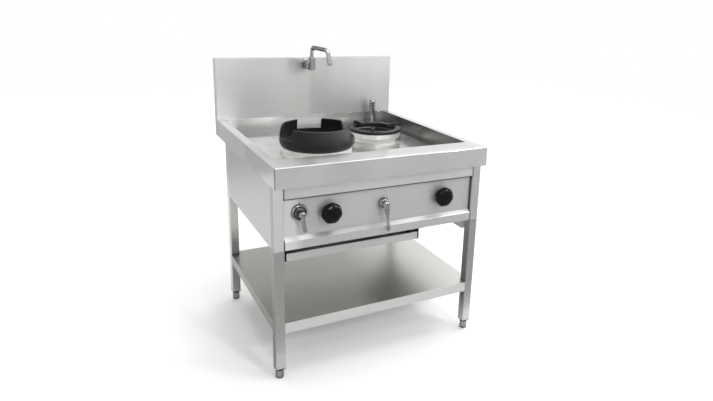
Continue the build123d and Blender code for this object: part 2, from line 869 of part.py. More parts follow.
def make_mixing_tube(burner):
    """Venturi tube with a bell mouth towards the injector."""
    outer = [(head_passage + mixing_wall, 0), (mixing_throat_radius, mixing_throat_start),
             (mixing_throat_radius, mixing_throat_end), (mixing_bell_radius, mixing_tube_length)]
    inner = [(radius - mixing_wall, along) for radius, along in outer]
    tube = turned(0, 0, outer + inner[::-1])
    return Pos(burner.x, burner.y - head_socket_reach, mixing_axis) * Rot(90, 0, 0) * tube


def make_injector(burner):
    """Brass injector that points into the bell of the mixing tube."""
    mouth = mixing_tube_end(burner) - injector_gap
    body = lengthwise(burner.x, mixing_axis, mouth - injector_length, mouth, injector_radius)
    body += lengthwise(burner.x, mixing_axis, mouth, mouth + injector_gap, injector_jet_radius)
    return body


def make_burner_pipe(burner):
    """Pipe from the top of a gas valve to its injector."""
    port_y = panel_rear + main_port_back
    end = mixing_tube_end(burner) - injector_gap - injector_length
    points = [(burner.knob_x, port_y, knob_z + valve_height / 2), (burner.knob_x, port_y, mixing_axis),
              (burner.x, port_y, mixing_axis), (burner.x, end, mixing_axis)]
    return pipe(points, burner_pipe_radius, burner_pipe_bend)


def make_bracket(burner, x, y):
    """Flat lug from the side of the burner head out to the line x, y."""
    low = head_bottom + pilot_drop + bracket_rise
    lug = block(x - pilot_radius, x + pilot_radius, y, burner.y, low, low + pilot_bracket)
    return lug - upright(burner.x, burner.y, low, low + pilot_bracket, burner.head_radius)


def make_pilot(burner):
    """Pilot burner beside the head, with its bracket and thin gas pipe."""
    x = burner.x + pilot_offset_x
    y = burner.y - pilot_offset_y
    low = head_bottom + pilot_drop
    run = bowl_bottom - pilot_run_drop
    port_x = burner.knob_x - pilot_port_side
    port_y = panel_rear + pilot_port_back
    pilot = upright(x, y, low, low + pilot_height, pilot_radius)
    pilot += pipe([(x, y, low), (x, y, run), (x, port_y, run), (port_x, port_y, run),
                   (port_x, port_y, knob_z + valve_height / 2)], pilot_pipe_radius, pilot_pipe_bend)
    return pilot + make_bracket(burner, x, y)


def make_thermocouple(burner):
    """Flame probe beside the head, with its bracket and lead to the gas valve."""
    x = burner.x - pilot_offset_x
    y = burner.y - pilot_offset_y
    low = head_bottom + pilot_drop
    run = bowl_bottom - probe_run_drop
    port_x = burner.knob_x - copysign(thermal_port_side, burner.x - burner.knob_x)
    port_y = panel_rear + thermal_port_back
    probe = upright(x, y, low, low + pilot_height + probe_rise, probe_radius)
    probe += pipe([(x, y, low), (x, y, run), (x, port_y, run), (port_x, port_y, run),
                   (port_x, port_y, knob_z + valve_height / 2)], probe_lead_radius, probe_lead_bend)
    return probe + make_bracket(burner, x, y)


def make_wok_ring():
    """Cast ring with a bulged wall and three notches between its raised segments."""
    base = collar_top
    top = base + ring_height
    outer = [(ring_foot_radius, base), (ring_foot_radius + ring_foot_flare, base + ring_foot_flare_height),
             (ring_bulge_radius, base + ring_bulge_height),
             (ring_shoulder_radius, base + ring_shoulder_height), (ring_top_radius, top)]
    inner = [(ring_top_radius - ring_wall, top), (ring_shoulder_radius - ring_wall, base + ring_shoulder_height),
             (ring_bulge_radius - ring_wall, base + ring_bulge_height),
             (ring_foot_radius + ring_foot_flare - ring_wall - ring_wall / 2, base + ring_seat_thickness)]
    spigot = left_collar_radius - collar_wall - ring_spigot_gap
    edge = Spline(*outer) + Line(outer[-1], inner[0]) + Spline(*inner)
    foot = Polyline(inner[-1], (ring_seat_radius, base + ring_seat_thickness), (ring_seat_radius, base),
                    (spigot - ring_spigot_wall, base), (spigot - ring_spigot_wall, base - ring_spigot_depth),
                    (spigot, base - ring_spigot_depth), (spigot, base), outer[0])
    section = Plane.XZ * make_face(edge + foot)
    ring = Pos(left_burner_x, left_burner_y, 0) * revolve(section, Axis.Z)
    notches = ((back_notch_start, back_notch_end), (left_notch_start, left_notch_end),
               (right_notch_start, right_notch_end))
    for start, end in notches:
        ring -= wedge(left_burner_x, left_burner_y, start, end, base + ring_notch_height, top + ring_wall,
                      2 * ring_bulge_radius)
    return ring


def make_pan_support():
    """Cast ring with rounded rims and three fingers that carry the pan."""
    base = collar_top
    top = base + support_height
    spigot = right_collar_radius - collar_wall - ring_spigot_gap
    round_in = support_rounding
    ring = turned(right_burner_x, right_burner_y, [
        (support_radius - support_foot_inset, base), (support_radius, base + support_foot_bevel),
        (support_radius, top - round_in), (support_radius - round_in, top), (support_bore + round_in, top),
        (support_bore, top - round_in), (support_bore, base), (spigot - ring_spigot_wall, base),
        (spigot - ring_spigot_wall, base - ring_spigot_depth), (spigot, base - ring_spigot_depth),
        (spigot, base)])
    root = support_radius - finger_root_inset
    root_low = base + finger_root_rise
    profile = [(root, root_low), (root, top + finger_peak_rise - finger_shoulder_drop),
               (finger_peak_radius, top + finger_peak_rise), (finger_reach, top + finger_tip_rise),
               (finger_reach, top + finger_tip_rise - finger_tip_depth), (support_bore, root_low)]
    section = Plane.XZ * make_face(Polyline(*profile, close=True))
    finger = Pos(0, finger_width / 2, 0) * extrude(section, finger_width, dir=(0, -1, 0))
    for index in range(finger_count):
        angle = finger_first_angle + 360 / finger_count * index
        ring += Pos(right_burner_x, right_burner_y, 0) * Rot(0, 0, angle) * finger
    return ring


# ---------------------------------------------------------------- gas controls and supply
def make_gas_valve(burner):
    """Valve block on the rear of the control panel, with its nipple in the manifold."""
    half = valve_width / 2
    low = knob_z - valve_height / 2
    high = knob_z + valve_height / 2
    back = panel_rear + valve_depth
    valve = block(burner.knob_x - half, burner.knob_x + half, panel_rear, back, low, high)
    valve += lengthwise(burner.knob_x, knob_z, back, manifold_y - manifold_radius + manifold_wall,
                        valve_nipple_radius)
    return valve - lengthwise(burner.knob_x, knob_z, panel_rear, panel_rear + stem_depth,
                              stem_radius + running_clearance)


def make_valve_stem(burner):
    """Turning stem from the valve through the panel into the knob."""
    return lengthwise(burner.knob_x, knob_z, panel_face - stem_reach, panel_rear + stem_depth - stem_end_gap,
                      stem_radius)


def make_knob(burner):
    """Knob with a skirt, a waist and a domed grip with scalloped lobes."""
    start = knob_panel_gap
    grip = start + knob_grip_start
    front = start + knob_depth
    scallop_centre = knob_grip_radius + knob_scallop_radius - knob_scallop_bite
    skirt = turned_forward(burner.knob_x, knob_z, [
        (0, start), (knob_skirt_radius, start), (knob_skirt_radius, start + knob_skirt_height),
        (knob_neck_radius, grip - knob_waist_band), (knob_neck_radius, grip + knob_waist_band),
        (0, grip + knob_waist_band)])
    lobes = turned_forward(burner.knob_x, knob_z, [
        (0, grip), (knob_grip_radius - knob_edge_width, grip), (knob_grip_radius, grip + knob_edge_height),
        (knob_grip_radius, front - knob_crown - knob_edge_width),
        (knob_grip_radius - knob_edge_width, front - knob_crown), (knob_dome_radius, front), (0, front)])
    for index in range(knob_lobes):
        angle = 90 + 360 / knob_lobes * (index + 0.5)
        x = burner.knob_x + scallop_centre * cos(radians(angle))
        z = knob_z + scallop_centre * sin(radians(angle))
        lobes -= lengthwise(x, z, panel_face - front, panel_face - grip, knob_scallop_radius)
    knob = skirt + lobes
    return knob - lengthwise(burner.knob_x, knob_z, panel_face - stem_reach - knob_bore_end, panel_face - start,
                             stem_radius + running_clearance)


def make_gas_manifold():
    """Pipe behind the control panel that feeds both valves, closed at its left end."""
    end = left_knob_x - manifold_end
    bar = crosswise(manifold_y, knob_z, end, gas_union_x, manifold_radius)
    bar -= crosswise(manifold_y, knob_z, end + manifold_wall, gas_union_x, manifold_radius - manifold_wall)
    for burner in burners:
        bar -= lengthwise(burner.knob_x, knob_z, manifold_y - manifold_radius - 1, manifold_y,
                          valve_nipple_radius + running_clearance)
    return bar


def make_gas_supply_pipe():
    """Pipe from the rear inlet through the duct and up to the manifold, with its end turned down for a union."""
    end = frame_back + gas_inlet_reach
    points = [(gas_inlet_x, end, gas_inlet_z), (gas_inlet_x, gas_turn_y, gas_inlet_z),
              (duct_middle, gas_turn_y, gas_inlet_z), (duct_middle, manifold_y, gas_inlet_z),
              (duct_middle, manifold_y, knob_z), (gas_union_x, manifold_y, knob_z)]
    supply = pipe(points, gas_pipe_radius, gas_bend_radius, gas_pipe_wall)
    turned_off = lengthwise(gas_inlet_x, gas_inlet_z, end - gas_thread_length, end, 2 * gas_pipe_radius)
    turned_off -= lengthwise(gas_inlet_x, gas_inlet_z, end - gas_thread_length, end, gas_thread_radius)
    return supply - turned_off


# ---------------------------------------------------------------- water controls and supply
def make_water_valve(x, z, nose_radius, nose_height):
    """Water valve behind the panel, with a nose through the panel that carries the lever's spindle."""
    valve = lengthwise(x, z, panel_rear, panel_rear + water_valve_depth, water_valve_radius)
    valve += lengthwise(x, z, panel_face - nose_height, panel_rear, nose_radius)
    valve += upright(x, panel_rear + outlet_behind_panel, z, z + water_port_reach, water_port_radius)
    valve += upright(x, panel_rear + inlet_behind_panel, z - water_port_reach, z, water_port_radius)
    return valve - lengthwise(x, z, panel_face - nose_height, panel_rear + spindle_grip,
                              spindle_radius + running_clearance)


def make_water_valves():
    """The two water valves."""
    nose = spindle_hole_radius - running_clearance
    return group([make_water_valve(rinse_lever_x, rinse_lever_z, nose, escutcheon_height),
                  make_water_valve(tap_lever_x, tap_lever_z, nose, boss_height)])


def make_escutcheon():
    """Dished rosette round the rinse lever's nose."""
    rim = escutcheon_radius
    crest = rim - escutcheon_slope
    hole = spindle_hole_radius + running_clearance
    nose = hole + escutcheon_nose_wall
    nose_top = escutcheon_height - trim_drop
    return turned_forward(rinse_lever_x, rinse_lever_z, [
        (hole, 0), (rim, 0), (rim, escutcheon_edge), (crest, escutcheon_height),
        (crest - escutcheon_crest, escutcheon_height),
        (crest - escutcheon_crest - escutcheon_dish, escutcheon_edge),
        (nose + escutcheon_nose_foot, escutcheon_edge), (nose, nose_top), (hole, nose_top)])


def make_tap_boss():
    """Round boss behind the tap lever."""
    hole = spindle_hole_radius + running_clearance
    foot = boss_radius + boss_foot_width
    top = boss_height - trim_drop
    return turned_forward(tap_lever_x, tap_lever_z, [
        (hole, 0), (foot, 0), (foot, boss_foot_edge), (boss_radius, boss_foot_height),
        (boss_radius, boss_height - boss_edge), (boss_radius - boss_edge, top), (hole, top)])


def make_rinse_lever():
    """Rod lever with a round hub and the spindle that turns in the valve."""
    start = escutcheon_height + lever_gap
    front = lever_reach + lever_hub_front
    hub = turned_forward(rinse_lever_x, rinse_lever_z, [
        (0, start), (rinse_hub_radius - rinse_hub_bevel, start),
        (rinse_hub_radius, start + rinse_hub_bevel_height),
        (rinse_hub_radius, lever_reach + lever_hub_shoulder), (rinse_hub_radius - rinse_hub_edge, front),
        (0, front)])
    hub += lengthwise(rinse_lever_x, rinse_lever_z, panel_face - start,
                      panel_rear + spindle_grip - spindle_end_gap, spindle_radius)
    rod = upright(0, 0, -rinse_lever_length, 0, rinse_lever_radius)
    rod = fillet(rod.edges().group_by(Axis.Z)[0], rinse_lever_edge)
    rod_y = panel_face - lever_reach + rinse_rod_setback
    place = Pos(rinse_lever_x, rod_y, rinse_lever_z) * Rot(0, -rinse_lever_tilt, 0)
    return hub + place * rod


def make_tap_lever():
    """Flat lever with a broad head, a narrow waist and a round end, on its hub and spindle."""
    start = boss_height + lever_gap
    front = lever_reach + lever_hub_front
    hub = turned_forward(tap_lever_x, tap_lever_z, [
        (0, start), (tap_hub_radius - tap_hub_bevel, start), (tap_hub_radius, start + tap_hub_bevel_height),
        (tap_hub_radius, lever_reach + lever_hub_shoulder), (tap_hub_radius - tap_hub_edge, front), (0, front)])
    hub += lengthwise(tap_lever_x, tap_lever_z, panel_face - start,
                      panel_rear + spindle_grip - spindle_end_gap, spindle_radius)
    head = tap_lever_head_width / 2
    waist = tap_lever_waist_width / 2
    end = tap_lever_length - tap_lever_end_radius
    side = [(head, -tap_lever_head_start), (head, -tap_lever_head_end), (waist, -tap_lever_waist_start),
            (waist, tap_lever_end_taper - end), (tap_lever_end_radius, -end)]
    outline = side + [(-x, y) for x, y in reversed(side)]
    plate = make_face(Polyline(*outline, close=True)) + Pos(0, -end, 0) * Circle(tap_lever_end_radius)
    plate -= Pos(0, -tap_lever_hole_drop, 0) * Circle(tap_lever_hole_radius)
    blade = extrude(Plane.XZ * plate, tap_lever_thickness / 2, both=True)
    place = Pos(tap_lever_x, panel_face - lever_reach, tap_lever_z) * Rot(0, -tap_lever_tilt, 0)
    return hub + place * blade


def make_water_manifold():
    """Inlet at the rear and the pipe that feeds both water valves from below."""
    drop_y = panel_rear + inlet_behind_panel
    start = frame_back + water_inlet_flange_thickness
    run = [(water_inlet_x, start, water_run_height), (water_inlet_x, drop_y, water_run_height),
           (tap_lever_x, drop_y, water_run_height), (tap_lever_x, drop_y, tap_lever_z - water_port_reach)]
    feed = pipe(run, water_pipe_radius, water_bend_radius)
    feed += upright(rinse_lever_x, drop_y, water_run_height, rinse_lever_z - water_port_reach,
                    water_pipe_radius)
    feed += lengthwise(water_inlet_x, water_run_height, frame_back, start, water_inlet_flange)
    feed += lengthwise(water_inlet_x, water_run_height, start, start + water_inlet_reach, water_inlet_radius)
    return feed


def make_rinse_feed():
    """Pipe from the rinse valve to the foot of the rinse pipe."""
    port_y = panel_rear + outlet_behind_panel
    foot = gutter_floor - deck_sheet - rinse_pipe_below
    points = [(rinse_lever_x, port_y, rinse_lever_z + water_port_reach),
              (rinse_lever_x, port_y, rinse_run_height), (rinse_lever_x, rinse_run_y, rinse_run_height),
              (rinse_pipe_x, rinse_run_y, rinse_run_height), (rinse_pipe_x, rinse_pipe_y, rinse_run_height),
              (rinse_pipe_x, rinse_pipe_y, foot)]
    return pipe(points, water_pipe_radius, rinse_feed_bend)


def make_tap_feed():
    """Pipe from the tap valve, back under the deck and up inside the backsplash."""
    port_y = panel_rear + outlet_behind_panel
    points = [(tap_lever_x, port_y, tap_lever_z + water_port_reach),
              (tap_lever_x, port_y, tap_run_height), (tap_run_x, port_y, tap_run_height),
              (tap_run_x, feed_riser_y(), tap_run_height), (tap_x, feed_riser_y(), tap_run_height),
              (tap_x, feed_riser_y(), tap_axis_height - tap_elbow_size / 2)]
    return pipe(points, water_pipe_radius, water_bend_radius)


# ---------------------------------------------------------------- gutter fittings
def make_rinse_pipe():
    """Capped upright pipe in the gutter: rinse water leaves through the slit under its cap."""
    top = work_height + rinse_pipe_rise
    slit_top = top - rinse_slit_drop + rinse_slit
    slit_bottom = top - rinse_slit_drop
    foot = gutter_floor - deck_sheet - rinse_pipe_below
    bore = rinse_pipe_radius - rinse_pipe_wall
    plug_top = foot + rinse_plug_length
    return turned(rinse_pipe_x, rinse_pipe_y, [
        (0, foot), (rinse_pipe_radius, foot), (rinse_pipe_radius, slit_bottom), (bore, slit_bottom),
        (bore, plug_top), (rinse_neck_radius, plug_top), (rinse_neck_radius, slit_top),
        (rinse_cap_radius, slit_top), (rinse_cap_radius, top - rinse_cap_edge),
        (rinse_cap_radius - rinse_cap_edge, top), (0, top)])


def make_drain():
    """Flanged drain cup in the gutter floor, with a threaded tail."""
    low = gutter_floor - drain_cup_depth
    return turned(drain_x, drain_y, [
        (drain_cup_radius - drain_wall, gutter_floor + drain_flange_thickness),
        (drain_flange_radius, gutter_floor + drain_flange_thickness), (drain_flange_radius, gutter_floor),
        (drain_cup_radius, gutter_floor), (drain_cup_radius, low), (drain_tail_radius, low),
        (drain_tail_radius, low - drain_tail_length), (drain_tail_radius - drain_wall, low - drain_tail_length),
        (drain_tail_radius - drain_wall, low + drain_wall), (drain_cup_radius - drain_wall, low + drain_wall)])


def make_strainer():
    """Lift-out strainer cup with a perforated floor and a rim on the drain flange."""
    seat = gutter_floor + drain_flange_thickness
    wall = drain_cup_radius - drain_wall - strainer_gap
    low = seat - strainer_depth
    cup = turned(drain_x, drain_y, [
        (0, low), (wall, low), (wall, seat), (wall + strainer_rim, seat), (wall + strainer_rim, seat + strainer_wall),
        (wall - strainer_wall, seat + strainer_wall), (wall - strainer_wall, low + strainer_wall),
        (0, low + strainer_wall)])
    for index in range(strainer_holes):
        angle = radians(360 / strainer_holes * index)
        reach = wall * (strainer_outer_row if index % 2 else strainer_inner_row)
        cup -= upright(drain_x + reach * cos(angle), drain_y + reach * sin(angle), low, low + strainer_wall,
                       strainer_hole_radius)
    return cup


# ---------------------------------------------------------------- tap
def make_tap_body():
    """Horizontal tap body on the backsplash, with the upright column at its front end and its shank behind."""
    outline = [(0, 0), (tap_flange_radius, 0), (tap_flange_radius, tap_flange_thickness - tap_flange_edge),
               (tap_flange_radius - tap_flange_bevel, tap_flange_thickness),
               (tap_body_radius - tap_body_bevel, tap_flange_thickness + tap_body_bevel),
               (tap_body_radius, tap_flange_thickness + tap_body_start),
               (tap_body_radius, tap_body_reach - tap_body_nose),
               (tap_body_radius - tap_body_nose_bevel, tap_body_reach - tap_body_nose_end),
               (0, tap_body_reach - tap_body_end)]
    section = Plane.XZ * make_face(Polyline(*outline, close=True))
    body = Pos(tap_x, well_back, tap_axis_height) * Rot(90, 0, 0) * revolve(section, Axis.Z)
    column_y = well_back - tap_body_reach
    column = upright(tap_x, column_y, tap_axis_height - tap_column_below, tap_column_top, tap_column_radius)
    column = fillet(column.edges().group_by(Axis.Z)[0], tap_column_edge)
    body += column
    half = tap_elbow_size / 2
    body += lengthwise(tap_x, tap_axis_height, well_back, feed_riser_y(), tap_shank_radius)
    body += block(tap_x - half, tap_x + half, feed_riser_y() - tap_elbow_front, feed_riser_y() + tap_elbow_back,
                  tap_axis_height - half, tap_axis_height + half)
    return body - upright(tap_x, column_y, tap_column_top - spout_engagement - spout_end_gap, tap_column_top,
                          spout_radius + running_clearance)


def make_tap_nut():
    """Round nut that holds the spout in the column."""
    y = well_back - tap_body_reach
    nut = upright(tap_x, y, tap_column_top, tap_column_top + tap_nut_height, tap_nut_radius)
    nut = chamfer(nut.edges().group_by(Axis.Z)[-1], tap_nut_edge)
    return nut - upright(tap_x, y, tap_column_top, tap_column_top + tap_nut_height,
                         spout_radius + running_clearance)


def make_spout():
    """Swan-neck spout: up out of the column, forward over the well and steeply down."""
    base = tap_column_top - spout_engagement
    points = [(0, 0, base), (0, 0, spout_height), (0, -spout_corner_reach, spout_height),
              (0, -spout_reach, spout_height - spout_drop)]
    tube = pipe(points, spout_radius, [spout_rear_bend, spout_front_bend], spout_wall)
    return Pos(tap_x, well_back - tap_body_reach, 0) * Rot(0, 0, spout_turn) * tube


# ---------------------------------------------------------------- nodes
nodes = {
    "leg_front_left": make_leg(-leg_x, leg_front_y, deck_under),
    "leg_front_right": make_leg(leg_x, leg_front_y, deck_under),
    "leg_rear_left": make_leg(-leg_x, leg_rear_y, well_under),
    "leg_rear_right": make_leg(leg_x, leg_rear_y, well_under),
    "leg_end_caps": group([make_leg_cap(x, y) for x in (-leg_x, leg_x) for y in (leg_front_y, leg_rear_y)]),
    "foot_front_left": make_foot(-leg_x, leg_front_y),
    "foot_front_right": make_foot(leg_x, leg_front_y),
    "foot_rear_left": make_foot(-leg_x, leg_rear_y),
    "foot_rear_right": make_foot(leg_x, leg_rear_y),
    "undershelf": make_undershelf(),
    "side_panel_left": make_side_panel(-1),
    "side_panel_right": make_side_panel(1),
    "back_panel": make_back_panel(),
    "front_rail": make_front_rail(),
    "control_panel": make_control_panel(),
    "pipe_duct": make_pipe_duct(),
    "burner_rails": group([make_burner_rail(burner) for burner in burners]),
    "deck_pan": make_deck_pan(),
    "backsplash": make_backsplash(),
    "backsplash_cover": make_backsplash_cover(),
    "cover_screws": group([make_cover_screw(x, z) for x, z in cover_screw_places()]),
    "drip_tray": make_drip_tray(),
    "tray_runners": group([make_tray_runner(side) for side in (-1, 1)]),
    "wok_ring": make_wok_ring(),
    "pan_support": make_pan_support(),
    "mixing_tubes": group([make_mixing_tube(burner) for burner in burners]),
    "gas_injectors": group([make_injector(burner) for burner in burners]),
    "burner_gas_pipes": group([make_burner_pipe(burner) for burner in burners]),
    "pilot_burners": group([make_pilot(burner) for burner in burners]),
    "thermocouples": group([make_thermocouple(burner) for burner in burners]),
    "gas_manifold": make_gas_manifold(),
    "gas_supply_pipe": make_gas_supply_pipe(),
    "water_valves": make_water_valves(),
    "water_manifold": make_water_manifold(),
    "rinse_escutcheon": make_escutcheon(),
    "tap_lever_boss": make_tap_boss(),
    "rinse_lever": make_rinse_lever(),
    "tap_lever": make_tap_lever(),
    "rinse_feed_pipe": make_rinse_feed(),
    "tap_feed_pipe": make_tap_feed(),
    "rinse_pipe": make_rinse_pipe(),
    "drain_outlet": make_drain(),
    "drain_strainer": make_strainer(),
    "tap_body": make_tap_body(),
    "tap_nut": make_tap_nut(),
    "tap_spout": make_spout(),
}
for burner in burners:
    nodes[f"burner_collar_{burner.side}"] = make_collar(burner)
    nodes[f"fire_bowl_{burner.side}"] = make_fire_bowl(burner)
    nodes[f"burner_head_{burner.side}"] = make_burner_head(burner)
    nodes[f"burner_cap_{burner.side}"] = make_burner_cap(burner)
    nodes[f"gas_valve_{burner.side}"] = make_gas_valve(burner)
    nodes[f"valve_stem_{burner.side}"] = make_valve_stem(burner)
    nodes[f"knob_{burner.side}"] = make_knob(burner)

os.makedirs("parts", exist_ok=True)
for name, shape in nodes.items():
    export_step(shape, f"parts/{name}.step")
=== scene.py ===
"""Looks of a free-standing stainless gas wok range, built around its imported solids.

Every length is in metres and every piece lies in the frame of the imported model: +Z up, controls facing -Y.
"""
import logging
import math
from collections.abc import Sequence
from dataclasses import dataclass
from enum import Enum

import bmesh
import bpy
import numpy as np
from mathutils import Matrix, Vector


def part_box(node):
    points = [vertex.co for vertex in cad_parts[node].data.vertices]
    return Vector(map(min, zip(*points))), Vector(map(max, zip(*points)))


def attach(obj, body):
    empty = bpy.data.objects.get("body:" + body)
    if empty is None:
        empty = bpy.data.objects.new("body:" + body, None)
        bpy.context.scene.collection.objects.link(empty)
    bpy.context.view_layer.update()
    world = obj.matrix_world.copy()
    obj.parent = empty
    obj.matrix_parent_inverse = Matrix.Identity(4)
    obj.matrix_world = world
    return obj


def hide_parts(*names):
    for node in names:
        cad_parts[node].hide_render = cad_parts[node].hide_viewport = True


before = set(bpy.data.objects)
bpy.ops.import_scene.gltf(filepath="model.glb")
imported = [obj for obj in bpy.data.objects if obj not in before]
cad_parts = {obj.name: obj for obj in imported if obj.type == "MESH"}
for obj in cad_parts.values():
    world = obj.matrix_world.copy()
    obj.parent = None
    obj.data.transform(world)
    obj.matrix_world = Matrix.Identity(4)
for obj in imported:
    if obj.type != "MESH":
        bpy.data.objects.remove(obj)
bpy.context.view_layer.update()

log = logging.getLogger("wok_range")

MM = 0.001
ROOT_BODY = "range"
Color = tuple[float, float, float]
Array = np.ndarray
Span = tuple[float | None, float | None]
SIDES = ("left", "right")

EDGE_RADIUS = 1.2 * MM
EDGE_HIGHLIGHT: Color = (0.80, 0.80, 0.79)
SEAM_SHADE: Color = (0.05, 0.05, 0.048)
DARK_RIM_REFLECTION: Color = (0.03, 0.03, 0.03)
IRON_EDGE_TONE: Color = (0.10, 0.10, 0.102)
SHADOW: Color = (0.035, 0.035, 0.034)


# ------------------------------------------------------------------ shapes worked out with numpy
def rounded_line(corners: Sequence[Sequence[float]], reach: float | Sequence[float], steps: int = 6,
                 closed: bool = False) -> Array:
    """Rounds the corners of a line of straight runs.

    Each corner P is replaced by the curve (1-t)^2 A + 2 t (1-t) P + t^2 B, where A and B lie on the two runs
    at the given distance from P, cut to just under half of the shorter run.

    Args:
        corners: points in two or three dimensions, in order.
        reach: distance along the runs that each corner's curve takes, one value or one for each corner.
        steps: points on each corner's curve.
        closed: joins the last corner to the first.

    Returns:
        The rounded line's points, one row each.
    """
    p = np.asarray(corners, dtype=float)
    before = np.roll(p, 1, axis=0)
    after = np.roll(p, -1, axis=0)
    to_before = np.linalg.norm(before - p, axis=1)
    to_after = np.linalg.norm(after - p, axis=1)
    cut = np.minimum(np.broadcast_to(np.asarray(reach, dtype=float), (len(p),)),
                     0.49 * np.minimum(to_before, to_after))
    if not closed:
        cut = cut.copy()
        cut[[0, -1]] = 0.0
    a = p + (before - p) / np.maximum(to_before, 1e-12)[:, None] * cut[:, None]
    b = p + (after - p) / np.maximum(to_after, 1e-12)[:, None] * cut[:, None]
    t = np.linspace(0.0, 1.0, steps)[None, :, None]
    curve = (1 - t) ** 2 * a[:, None] + 2 * t * (1 - t) * p[:, None] + t ** 2 * b[:, None]
    line = curve.reshape(-1, p.shape[1])
    keep = np.ones(len(line), dtype=bool)
    keep[1:] = np.linalg.norm(np.diff(line, axis=0), axis=1) > 1e-7
    return line[keep]


def lathe(profile: Array, around: int = 96) -> Array:
    """Turns a profile about the local Z axis: x = r cos a, y = r sin a, z as given.

    Args:
        profile: rows of (radius, height).
        around: number of equal angles a.

    Returns:
        A grid of points, angle by profile.
    """
    a = np.linspace(0.0, 2 * np.pi, around, endpoint=False)[:, None]
    r = profile[None, :, 0]
    z = np.broadcast_to(profile[None, :, 1], (around, len(profile)))
    return np.stack([r * np.cos(a), r * np.sin(a), z], axis=-1)


def placed(points: Array, origin: Sequence[float], x_axis: Sequence[float], y_axis: Sequence[float],
           z_axis: Sequence[float]) -> Array:
    """Moves local points to origin + x X + y Y + z Z.

    Args:
        points: local points, the last dimension being x, y, z.
        origin: where the local origin goes.
        x_axis: direction of local x.
        y_axis: direction of local y.
        z_axis: direction of local z.

    Returns:
        The points in the model's frame.
    """
    return np.asarray(origin) + points @ np.array([x_axis, y_axis, z_axis], dtype=float)


def carried(section: Array, path: Array, side: Sequence[float]) -> Array:
    """Carries a section along a flat path: point = path + u side + v (tangent x side).

    Args:
        section: rows of (u, v), measured from the path.
        path: points of the path, in a plane that side is square to.
        side: unit direction square to the path's plane.

    Returns:
        A grid of points, path by section.
    """
    tangent = np.gradient(path, axis=0)
    tangent /= np.linalg.norm(tangent, axis=1)[:, None]
    s = np.asarray(side, dtype=float)
    other = np.cross(tangent, s)
    return path[:, None] + section[None, :, :1] * s + section[None, :, 1:] * other[:, None]


def circle(radius: float, points: int = 40) -> Array:
    """A circle's (u, v) points: radius times (cos a, sin a)."""
    a = np.linspace(0.0, 2 * np.pi, points, endpoint=False)
    return radius * np.stack([np.cos(a), np.sin(a)], axis=-1)


def smooth_step(x: Array) -> Array:
    """0 below 0, 1 above 1, and 3 x^2 - 2 x^3 between."""
    t = np.clip(x, 0.0, 1.0)
    return t * t * (3 - 2 * t)


class Skin:
    """Collects grids of points and makes one mesh object of them."""

    def __init__(self, name: str) -> None:
        """Starts an empty skin under the object's name."""
        self.name = name
        self.points: list[Array] = []
        self.faces: list[Array] = []
        self.count = 0

    def add(self, grid: Array, close_rows: bool = True, close_columns: bool = False) -> "Skin":
        """Skins a grid with four-sided faces (i, j), (i+1, j), (i+1, j+1), (i, j+1).

        Args:
            grid: points, rows by columns.
            close_rows: joins the last row to the first.
            close_columns: joins the last column to the first.

        Returns:
            The skin itself.
        """
        rows, columns = grid.shape[:2]
        i, j = np.meshgrid(np.arange(rows if close_rows else rows - 1),
                           np.arange(columns if close_columns else columns - 1), indexing="ij")
        i, j = i.ravel(), j.ravel()
        i2, j2 = (i + 1) % rows, (j + 1) % columns
        quads = np.stack([i * columns + j, i2 * columns + j, i2 * columns + j2, i * columns + j2], axis=-1)
        self.points.append(grid.reshape(-1, 3))
        self.faces.append(quads + self.count)
        self.count += rows * columns
        return self

    def make(self, sharp_degrees: float = 40.0) -> bpy.types.Object:
        """Makes the object, closes seams and poles, and points every face outwards.

        Args:
            sharp_degrees: edges that turn by more than this stay sharp.

        Returns:
            The new object, in the scene's collection.
        """
        mesh = bpy.data.meshes.new(self.name)
        mesh.from_pydata(np.concatenate(self.points).tolist(), [], np.concatenate(self.faces).tolist())
        shape = bmesh.new()
        shape.from_mesh(mesh)
        bmesh.ops.remove_doubles(shape, verts=shape.verts, dist=2e-6)
        bmesh.ops.dissolve_degenerate(shape, edges=shape.edges, dist=1e-7)
        bmesh.ops.recalc_face_normals(shape, faces=shape.faces)
        shape.to_mesh(mesh)
        shape.free()
        mesh.shade_smooth()
        mesh.set_sharp_from_angle(angle=math.radians(sharp_degrees))
        piece = bpy.data.objects.new(self.name, mesh)
        bpy.context.scene.collection.objects.link(piece)
        return piece


def keep_piece(piece: bpy.types.Object, material: bpy.types.Material, body: str, slot: str,
               *nodes: str) -> bpy.types.Object:
    """Dresses a new piece, puts it on its body and hides the solids that it stands for.

    Args:
        piece: the finished object.
        material: its finish.
        body: the body that it rides on.
        slot: the record's material slot; not used.
        nodes: solids that it replaces, if any.

    Returns:
        The piece.
    """
    piece.data.materials.append(material)
    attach(piece, body)
    if nodes:
        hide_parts(*nodes)
    log.info("%s on %s, %d faces", piece.name, body, len(piece.data.polygons))
    return piece


# ------------------------------------------------------------------ finishes
class Grain(Enum):
    """Direction that a sheet or tube was brushed in, as the squeeze of the noise along X, Y and Z."""
    ALONG_X = (0.02, 1.0, 1.0)
    ALONG_Y = (1.0, 0.02, 1.0)
    ALONG_Z = (1.0, 1.0, 0.02)
    TURNED = (1.0, 1.0, 1.0)


